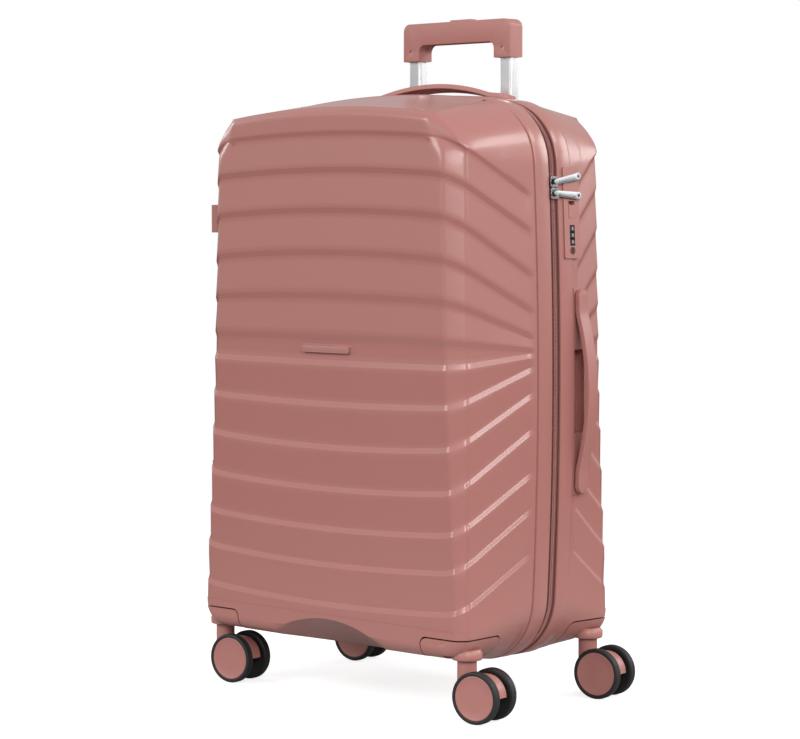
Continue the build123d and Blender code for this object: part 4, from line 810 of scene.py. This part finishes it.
def row_tree():
    """Geometry Nodes tree that sets small rounded teeth along a line."""
    tree = bpy.data.node_groups.new("row_of_beads", "GeometryNodeTree")
    inputs = (("Line", "Geometry"), ("Pitch", "Float"), ("Half Size", "Vector"), ("Finish", "Material"))
    sockets = {}
    for label, kind in inputs:
        socket = tree.interface.new_socket(name=label, in_out="INPUT", socket_type="NodeSocket" + kind)
        sockets[label] = socket.identifier
    tree.interface.new_socket(name="Beads", in_out="OUTPUT", socket_type="NodeSocketGeometry")
    nodes, link = tree.nodes, tree.links.new
    given, result = nodes.new("NodeGroupInput").outputs, nodes.new("NodeGroupOutput").inputs
    steps = ("MeshToCurve", "ResampleCurve", "InstanceOnPoints", "RealizeInstances", "SetShadeSmooth",
             "SetMaterial")
    chain = [nodes.new("GeometryNode" + step) for step in steps]
    flow = given["Line"]
    for node in chain:
        link(flow, node.inputs[0])
        flow = node.outputs[0]
    link(flow, result["Beads"])
    spaced, beads, finish = chain[1], chain[2], chain[-1]
    spaced.mode = "LENGTH"
    bead, sized = nodes.new("GeometryNodeMeshUVSphere"), nodes.new("GeometryNodeTransform")
    for label, value in (("Segments", 8), ("Rings", 5), ("Radius", 1.0)):
        bead.inputs[label].default_value = value
    turned = nodes.new("FunctionNodeAlignRotationToVector")
    turned.axis = "X"
    link(given["Pitch"], spaced.inputs["Length"])
    link(bead.outputs["Mesh"], sized.inputs["Geometry"])
    link(given["Half Size"], sized.inputs["Scale"])
    link(nodes.new("GeometryNodeInputTangent").outputs["Tangent"], turned.inputs["Vector"])
    link(sized.outputs["Geometry"], beads.inputs["Instance"])
    link(turned.outputs["Rotation"], beads.inputs["Rotation"])
    link(given["Finish"], finish.inputs["Material"])
    return tree, sockets


BEADS, BEAD_SOCKETS = row_tree()


def bead_row(name, points, pitch, half_size, finish):
    """Plain mesh of teeth along a line of points in millimetres."""
    mesh = bpy.data.meshes.new(name + "_line")
    edges = [(i, i + 1) for i in range(len(points) - 1)]
    mesh.from_pydata([Vector(p) * MM for p in points], edges, [])
    line = add_object(name + "_line", mesh)
    rows = line.modifiers.new("beads", "NODES")
    rows.node_group = BEADS
    rows[BEAD_SOCKETS["Pitch"]] = pitch * MM
    rows[BEAD_SOCKETS["Half Size"]] = half_size * MM
    rows[BEAD_SOCKETS["Finish"]] = MATERIALS[finish]
    beads = plain_mesh(line)
    line.modifiers.remove(rows)
    bpy.data.objects.remove(line)
    return beads


def zip_coil(name, body, y, node):
    """Coil teeth along one tape of the zip."""
    points = [(x, y, z) for x, z in zip_path(COIL_INSET)]
    teeth = bead_row(name, points, COIL_PITCH, TOOTH, "zip_coil")
    piece(name, teeth, body, "zip_coil", node)


def hinge_cloth():
    """Cloth hinge on the left side."""
    side = seam_outline(TAPE_INSET)[1]
    rows = [(-np.interp(z, side[:, 1], side[:, 0]), z) for z in np.linspace(HINGE_LOW, HINGE_HIGH, 48)]
    grid = np.array([[(x, y, z) for y in np.linspace(*HINGE_Y, 17)] for x, z in rows])
    mesh = to_mesh(ribbon(grid), "cloth_hinge")
    obj = piece("cloth_hinge", mesh, None, "zip_tape", "hinge_tape")
    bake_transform(obj)


zip_tape("front_tape", "lid", FRONT_TAPE_Y, "front_zip_tape")
zip_tape("rear_tape", "case", REAR_TAPE_Y, "rear_zip_tape")
zip_coil("front_teeth", "lid", FRONT_COIL_Y, "front_zip_coil")
zip_coil("rear_teeth", "case", REAR_COIL_Y, "rear_zip_coil")
hinge_cloth()

# Linings, trolley cover and cross straps
CLOTH_EDGE, CREASE_SIZE = 14.0, 55.0
LINING_GAP, LINING_CREASE, COVER_GAP, COVER_CREASE = 5.0, 0.9, 0.2, 0.5
FRONT_MIDDLE, REAR_MIDDLE, CASE_MIDDLE = (0, -45, SEAM_MID), (0, 56, SEAM_MID), (0, 0, SEAM_MID)
STRAP_W, STRAP_T, STRAP_X, STRAP_Z, STRAP_Y = 25.0, 1.1, 150.0, 200.0, 83.0
STRAP_LIFT, STRAP_BOW = 1.4, 0.06


def lining(name, node, body, finish, inside, gap, crease):
    """Sheet of cloth over the inner face of a CAD lining, a little loose, with soft creases."""
    bm = bmesh.new()
    bm.from_mesh(frame["nodes"][node].data)
    bmesh.ops.remove_doubles(bm, verts=bm.verts, dist=CAD_MERGE * MM)
    centre = Vector(inside) * MM
    outer = [f for f in bm.faces if f.normal.dot(centre - f.calc_center_median()) <= 0]
    bmesh.ops.delete(bm, geom=outer, context="FACES")
    for _ in range(6):
        long = [e for e in bm.edges if e.calc_length() > CLOTH_EDGE * MM]
        bmesh.ops.subdivide_edges(bm, edges=long, cuts=1)
        bmesh.ops.triangulate(bm, faces=bm.faces)
    bm.normal_update()
    moves = [(v, v.normal * (gap + crease * noise.noise(v.co / (CREASE_SIZE * MM))) * MM) for v in bm.verts]
    for vert, move in moves:
        vert.co += move
    mesh = to_mesh(bm, name)
    obj = piece(name, mesh, body, finish, node)


def cross_strap(way, lift):
    """One luggage strap from corner to corner, bowed over the other where they cross."""
    span = np.array((2 * STRAP_X * way, 2 * STRAP_Z))
    along = span / np.linalg.norm(span)
    across = np.array((along[1], -along[0]))
    rows = []
    for t in np.linspace(-0.5, 0.5, 61):
        x, z = t * span
        y = STRAP_Y - lift * math.exp(-((t / STRAP_BOW) ** 2))
        spread = np.linspace(-0.5, 0.5, 5) * STRAP_W
        rows.append([(x + w * across[0], y, SEAM_MID + z + w * across[1]) for w in spread])
    bm = ribbon(np.array(rows))
    bmesh.ops.recalc_face_normals(bm, faces=bm.faces)
    bmesh.ops.solidify(bm, geom=bm.faces[:], thickness=STRAP_T * MM)
    return bm


lining("front_lining_cloth", "front_lining", "lid", "lining", FRONT_MIDDLE, LINING_GAP, LINING_CREASE)
lining("rear_lining_cloth", "rear_lining", "case", "lining", REAR_MIDDLE, LINING_GAP, LINING_CREASE)
lining("trolley_cover_cloth", "trolley_cover", "case", "panel", CASE_MIDDLE, COVER_GAP, COVER_CREASE)
straps = joined("cross_straps_webbing", cross_strap(1, 0.0), cross_strap(-1, STRAP_LIFT))
piece("cross_straps_webbing", straps, "case", "webbing", "cross_straps")

# Carry handles
HANDLE_HALF_L, HANDLE_HALF_W, HANDLE_T, HANDLE_BEND, HANDLE_TIP = 111.0, 11.0, 5.5, 85.0, 7.0
HANDLE_EDGE, HANDLE_R = 1.0, 0.9
TOP_TABS, TOP_ARCH = (-3.44, -1.23, -1.23, -3.44), 11.0
SIDE_TABS, SIDE_ARCH = (1.15, 1.52, 1.02, 0.5), 13.0


def carry_handle(name, place, tabs, arch, body, node):
    """Bowed strip with rounded edges, on two flat tabs."""
    x = np.linspace(-HANDLE_HALF_L, HANDLE_HALF_L, 75)
    low = np.interp(x, (-HANDLE_HALF_L, -HANDLE_BEND, HANDLE_BEND, HANDLE_HALF_L), tabs)
    low += (arch - (tabs[1] + tabs[2]) / 2) * np.maximum(0, 1 - (x / HANDLE_BEND) ** 2)
    for _ in range(2):
        low[1:-1] = (low[:-2] + 2 * low[1:-1] + low[2:]) / 4
    over = np.maximum(0, np.abs(x) - HANDLE_HALF_L + HANDLE_TIP)
    half = HANDLE_HALF_W - HANDLE_TIP + np.sqrt(HANDLE_TIP**2 - np.minimum(over, HANDLE_TIP * 0.98) ** 2)
    section = rounded_rect(2 * HANDLE_EDGE, HANDLE_T, HANDLE_R)
    stations = []
    for px, base, wide in zip(x, low, half):
        middle = base + HANDLE_T / 2
        stations.append([(px, y + math.copysign(wide - HANDLE_EDGE, y), middle + z) for y, z in section])
    bm = placed(swept(stations), place)
    bmesh.ops.recalc_face_normals(bm, faces=bm.faces)
    piece(name, to_mesh(bm, name), body, "trim", node)


carry_handle("top_carry_handle", TOP_HANDLE, TOP_TABS, TOP_ARCH, "top_handle", "top_handle")
carry_handle("side_carry_handle", SIDE_HANDLE, SIDE_TABS, SIDE_ARCH, "side_handle", "side_handle")

# Trolley grip: front half with its screw holes, and the bare badge
GRIP_HALF, GRIP_LOW, GRIP_TOP, GRIP_R = 81.5, 714.5, 758.0, 9.0
GAP_HALF, GAP_TOP, GAP_R, GRIP_Y, GRIP_T, GRIP_EDGE = 57.5, 733.0, 8.0, 101.0, 13.0, 3.5
SCREW_X, SCREW_Z, SCREW_R = 70.0, 725.0, 2.4
BADGE_Z, BADGE_W, BADGE_H, BADGE_R, BADGE_RIM = 390.0, 72.0, 9.0, 2.4, 0.9
BADGE_SUNK, BADGE_RIM_T, BADGE_FIELD_T = -3.0, 1.6, 1.1


def facing_front(y):
    """Plane with x to the right, height up and out of the front, at a depth in millimetres."""
    return Matrix(((1, 0, 0, 0), (0, 0, -1, y * MM), (0, 1, 0, 0), (0, 0, 0, 1)))


def grip_outline():
    """Outline of the grip with its two legs."""
    right = [(GAP_HALF, GRIP_LOW), (GRIP_HALF, GRIP_LOW)]
    right += arc(GRIP_HALF - GRIP_R, GRIP_TOP - GRIP_R, GRIP_R, 0, 90)
    left = [(-x, z) for x, z in reversed(right)]
    x, z = GAP_HALF - GAP_R, GAP_TOP - GAP_R
    gap = arc(-x, z, GAP_R, 180, 90) + arc(x, z, GAP_R, 90, 0)
    return right + left + gap


screw_holes = [arc(side * SCREW_X, SCREW_Z, SCREW_R, 0, 330, 11) for side in (-1, 1)]
grip = placed(plate(grip_outline(), 0.0, GRIP_T, GRIP_EDGE, screw_holes), facing_front(GRIP_Y))
piece("grip_front", to_mesh(grip, "grip_front"), "trolley_upper", "trim", "trolley_grip_front")

badge_edge = rounded_rect(BADGE_W, BADGE_H, BADGE_R, 0, BADGE_Z)
badge_field = rounded_rect(BADGE_W - 2 * BADGE_RIM, BADGE_H - 2 * BADGE_RIM, BADGE_R - BADGE_RIM, 0, BADGE_Z)
badge = joined(
    "bare_badge",
    placed(plate(badge_edge, BADGE_SUNK, BADGE_RIM_T, 0.3, [badge_field]), facing_front(-FACE_Y)),
    placed(plate(badge_field, BADGE_SUNK, BADGE_FIELD_T, 0.2), facing_front(-FACE_Y)),
)
piece("bare_badge", badge, "lid", "badge", "badge_plate")

# Zip pulls and number dials, in the lock's axes
ZIP_V, PULL_TIP_V, PULL_LOW, PULL_HIGH = 27.2, -14.0, 2.85, 4.35
PULL_EYE_R, PULL_TIP_R, PULL_HOLE_R, PULL_EDGE = 2.9, 4.2, 1.68, 0.4
PULLS = (("upper", 32.0, 38.5), ("lower", 19.5, 16.5))
DIAL_R, DIAL_T, DIAL_SINK, DIAL_NOTCH, DIAL_EDGE = 9.0, 6.4, 6.8, 0.5, 0.5
DIGITS, DIGIT_H, DIGIT_T, DIGIT_SINK = 10, 4.6, 0.12, 0.05


def pull_tab(u, tip_u):
    """Tapered metal tab from the slider to its round tip, with a hole and a raised middle."""
    way = Vector((tip_u - u, PULL_TIP_V - ZIP_V)).normalized()
    turn = math.degrees(math.atan2(way.y, way.x))
    tip = Vector((tip_u, PULL_TIP_V)) - way * PULL_TIP_R
    eye = Vector((u, ZIP_V))

    def outline(margin, start, end):
        near = arc(*(eye + way * start), PULL_EYE_R - margin, turn + 90, turn + 270, 10)
        far = arc(*(tip - way * end), PULL_TIP_R - margin, turn - 90, turn + 90, 14)
        return near + far

    hole = arc(*tip, PULL_HOLE_R, 0, 340, 17)
    tab = plate(outline(0.0, 0.0, 0.0), PULL_LOW, PULL_HIGH, PULL_EDGE, [hole])
    middle = plate(outline(1.0, 6.0, 7.0), PULL_HIGH - 0.1, PULL_HIGH + 0.35, 0.2)
    return placed(tab, LOCK), placed(middle, LOCK)


for name, u, tip_u in PULLS:
    tab = joined(name + "_pull_tab", *pull_tab(u, tip_u))
    piece(name + "_pull_tab", tab, name + "_pull", "pull", name + "_zip_pull")


def dial_ring(place):
    """Dial with ten flats parted by finger notches, about its own axis."""
    angles = np.linspace(0, 2 * math.pi, 121)[:-1]
    notch = np.maximum(0, -np.cos(DIGITS * angles)) ** 4
    outer, inner = DIAL_T / 2, DIAL_T / 2 - DIAL_EDGE
    stations = []
    for h, inset in ((-outer, DIAL_EDGE), (-inner, 0.0), (inner, 0.0), (outer, DIAL_EDGE)):
        r = DIAL_R - inset - DIAL_NOTCH * notch
        stations.append([(h, s, c) for s, c in zip(r * np.sin(angles), r * np.cos(angles))])
    return placed(swept(stations), place)


def digit(number, place):
    """A numeral lying on one flat of a dial."""
    curve = bpy.data.curves.new("digit", "FONT")
    curve.body = str(number)
    curve.size, curve.extrude = DIGIT_H, DIGIT_T
    curve.align_x, curve.align_y = "CENTER", "CENTER"
    obj = add_object("digit", curve)
    mesh = plain_mesh(obj)
    bm = bmesh.new()
    bm.from_mesh(mesh)
    bpy.data.objects.remove(obj)
    bpy.data.meshes.remove(mesh)
    upright = Matrix(((0, 1, 0, 0), (-1, 0, 0, 0), (0, 0, 1, (DIAL_R - DIGIT_SINK) * MM), (0, 0, 0, 1)))
    turn = Matrix.Rotation(math.radians(360 / DIGITS * number), 4, "X")
    return placed(bm, place @ turn @ upright)


for k in (1, 2, 3):
    low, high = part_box(f"lock_dial_{k}")
    centre = LOCK.inverted() @ ((Vector(low) + Vector(high)) / 2)
    place = LOCK @ Matrix.Translation((centre.x, 0, -DIAL_SINK * MM))
    ring = to_mesh(dial_ring(place), f"dial_{k}_ring")
    piece(f"dial_{k}_ring", ring, f"dial_{k}", "dial", f"lock_dial_{k}")
    numbers = joined(f"dial_{k}_digits", *[digit(number, place) for number in range(DIGITS)])
    piece(f"dial_{k}_digits", numbers, f"dial_{k}", "digit")

# Casters, with profiles as (radius, height): tyres with a black inner disc, hub caps and collars
STEM_X, STEM_Y, TRAIL, WHEEL_Z, STEER = 186.5, 102.0, 22.0, 28.0, math.radians(8)
TYRE_PROFILE = (
    (5.0, 13.4), (5.0, 12.1), (22.0, 12.1), (23.2, 11.6), (26.4, 11.6), (27.5, 12.1), (28.0, 13.2),
    (28.0, 15.5), (27.7, 15.8), (27.7, 16.4), (28.0, 16.7), (28.0, 19.1), (27.5, 20.4), (26.4, 21.0),
    (24.7, 21.0), (24.1, 20.6), (24.0, 19.9), (24.0, 13.4), (5.0, 13.4),
)
CAP_PROFILE = (
    (0.0, 13.5), (23.9, 13.5), (23.9, 19.9), (23.6, 20.25), (23.0, 20.4), (22.4, 20.25), (21.8, 19.95),
    (12.0, 19.7), (0.0, 19.6),
)
COLLAR_PROFILE = (
    (9.0, 65.0), (15.6, 65.0), (16.3, 65.7), (16.6, 68.0), (16.6, 72.5), (14.0, 76.0), (9.0, 76.0),
    (9.0, 65.0),
)
HOUSING_BOTTOM, HOUSING_SIZE, HOUSING_GAP = 69.5, (71.5, 67.0, 18.0), 1.3


def wheel_pair(name, profile, x_side, y_side, finish, corner, node):
    """The same ring or cap on both ends of a caster's axle."""
    c, s = math.cos(STEER), math.sin(STEER)
    x, y = x_side * STEM_X + TRAIL * c, y_side * STEM_Y + TRAIL * s
    axle = Matrix(((c, 0, s, x * MM), (s, 0, -c, y * MM), (0, 1, 0, WHEEL_Z * MM), (0, 0, 0, 1)))
    ends = [placed(lathe(profile), axle @ Matrix.Rotation(turn, 4, "Y")) for turn in (0, math.pi)]
    piece(name, joined(name, *ends), corner + "_wheels", finish, node)


def wheel_housing(corner, x_side, y_side, body):
    """Housing drawn in a little from its cut-out, with a flared collar round the kingpin."""
    bm = bmesh.new()
    bm.from_mesh(frame["nodes"][corner + "_wheel_housing"].data)
    hold = Matrix.Translation(Vector((x_side * SEAM_HALF_W, y_side * FACE_Y, HOUSING_BOTTOM)) * MM)
    shrink = Matrix.Diagonal((*[1 - HOUSING_GAP / size for size in HOUSING_SIZE], 1))
    bmesh.ops.transform(bm, matrix=hold @ shrink @ hold.inverted(), verts=bm.verts)
    bmesh.ops.remove_doubles(bm, verts=bm.verts, dist=CAD_MERGE * MM)
    stem = Matrix.Translation((x_side * STEM_X * MM, y_side * STEM_Y * MM, 0))
    collar = placed(lathe(COLLAR_PROFILE), stem)
    name = corner + "_housing"
    piece(name, joined(name, bm, collar), body, "housing", corner + "_wheel_housing")


for end, y_side, body in (("front", -1, "lid"), ("rear", 1, "case")):
    for hand, x_side in (("left", -1), ("right", 1)):
        corner = f"{end}_{hand}"
        wheel_housing(corner, x_side, y_side, body)
        wheel_pair(corner + "_rubber", TYRE_PROFILE, x_side, y_side, "tyre", corner, corner + "_tyres")
        wheel_pair(corner + "_caps", CAP_PROFILE, x_side, y_side, "hub", corner, corner + "_wheel_hubs")

# Studio: white paper that glows for the camera alone, and a sky that is white for the camera
AMBIENT, MIRRORED, FLOOR_HALF = 0.4, 0.55, 30.0
PAPER, FLOOR_GLOW, FLOOR_NEAR, FLOOR_FAR = 0.5, 0.76, 0.45, 1.5

floor_corners = [(x * FLOOR_HALF, y * FLOOR_HALF, 0) for x, y in ((-1, -1), (1, -1), (1, 1), (-1, 1))]
floor_mesh = bpy.data.meshes.new("floor")
floor_mesh.from_pydata(floor_corners, [], [(0, 1, 2, 3)])
floor = add_object("floor", floor_mesh)
paper, tree, shader = surface("white_paper", 0.9)
shader["Specular IOR Level"].default_value = 0.0
shader["Emission Color"].default_value = (1, 1, 1, 1)
reach = tree.nodes.new("ShaderNodeVectorMath")
reach.operation = "LENGTH"
tree.links.new(object_point(tree), reach.inputs[0])
away = tree.nodes.new("ShaderNodeMapRange")
away.interpolation_type = "SMOOTHSTEP"
away.inputs["From Min"].default_value = FLOOR_NEAR
away.inputs["From Max"].default_value = FLOOR_FAR
tree.links.new(reach.outputs["Value"], away.inputs["Value"])
shade_of_paper = calc(tree, "MULTIPLY_ADD", away.outputs["Result"], -PAPER, PAPER)
tree.links.new(shade_of_paper, shader["Base Color"])
glow = calc(tree, "MULTIPLY_ADD", away.outputs["Result"], 1.0 - FLOOR_GLOW, FLOOR_GLOW)
seen = tree.nodes.new("ShaderNodeLightPath").outputs["Is Camera Ray"]
tree.links.new(calc(tree, "MULTIPLY", seen, glow), shader["Emission Strength"])
floor_mesh.materials.append(paper)

world = bpy.data.worlds.new("studio")
bpy.context.scene.world = world
world.use_nodes = True
tree = world.node_tree
sky = tree.nodes["Background"].inputs
sky["Color"].default_value = (1, 1, 1, 1)
path = tree.nodes.new("ShaderNodeLightPath").outputs
level = calc(tree, "MULTIPLY_ADD", path["Is Glossy Ray"], MIRRORED - AMBIENT, AMBIENT)
tree.links.new(calc(tree, "MAXIMUM", path["Is Camera Ray"], level), sky["Strength"])


def softbox(name, where, aim, wide, tall, power):
    """Area light at a place, turned to a point."""
    lamp = bpy.data.lights.new(name, "AREA")
    lamp.shape = "RECTANGLE"
    lamp.size, lamp.size_y, lamp.energy = wide, tall, power
    obj = add_object(name, lamp)
    obj.location = where
    obj.rotation_euler = (Vector(aim) - Vector(where)).to_track_quat("-Z", "Y").to_euler()


softbox("corner", (2.35, -1.8, 1.65), (0.1, 0, 0.4), 1.4, 1.2, 46)
softbox("side", (2.85, 0.6, 1.6), (0.1, 0, 0.4), 1.2, 1.0, 30)
softbox("front", (-0.9, -2.9, 1.9), (0, 0, 0.45), 1.8, 1.4, 53)
softbox("overhead", (1.58, 1.24, 2.05), (0.1, 0, 0.5), 0.6, 0.5, 9)
softbox("rear", (1.3, 2.7, 1.5), (0, 0, 0.4), 1.4, 1.2, 25)
softbox("left", (-2.9, -0.2, 1.6), (0, 0, 0.4), 1.4, 1.2, 20)

# Camera, as fitted to the outline in the photo
camera_data = bpy.data.cameras.new("camera")
camera = add_object("camera", camera_data)
camera.location = (2.0262, -2.1864, 0.5361)
camera.rotation_euler = (math.radians(86.65), 0, math.radians(42.9))
camera_data.lens = 118.7
camera_data.sensor_width = 36
bpy.context.scene.camera = camera
bpy.context.scene.view_settings.view_transform = "Standard"
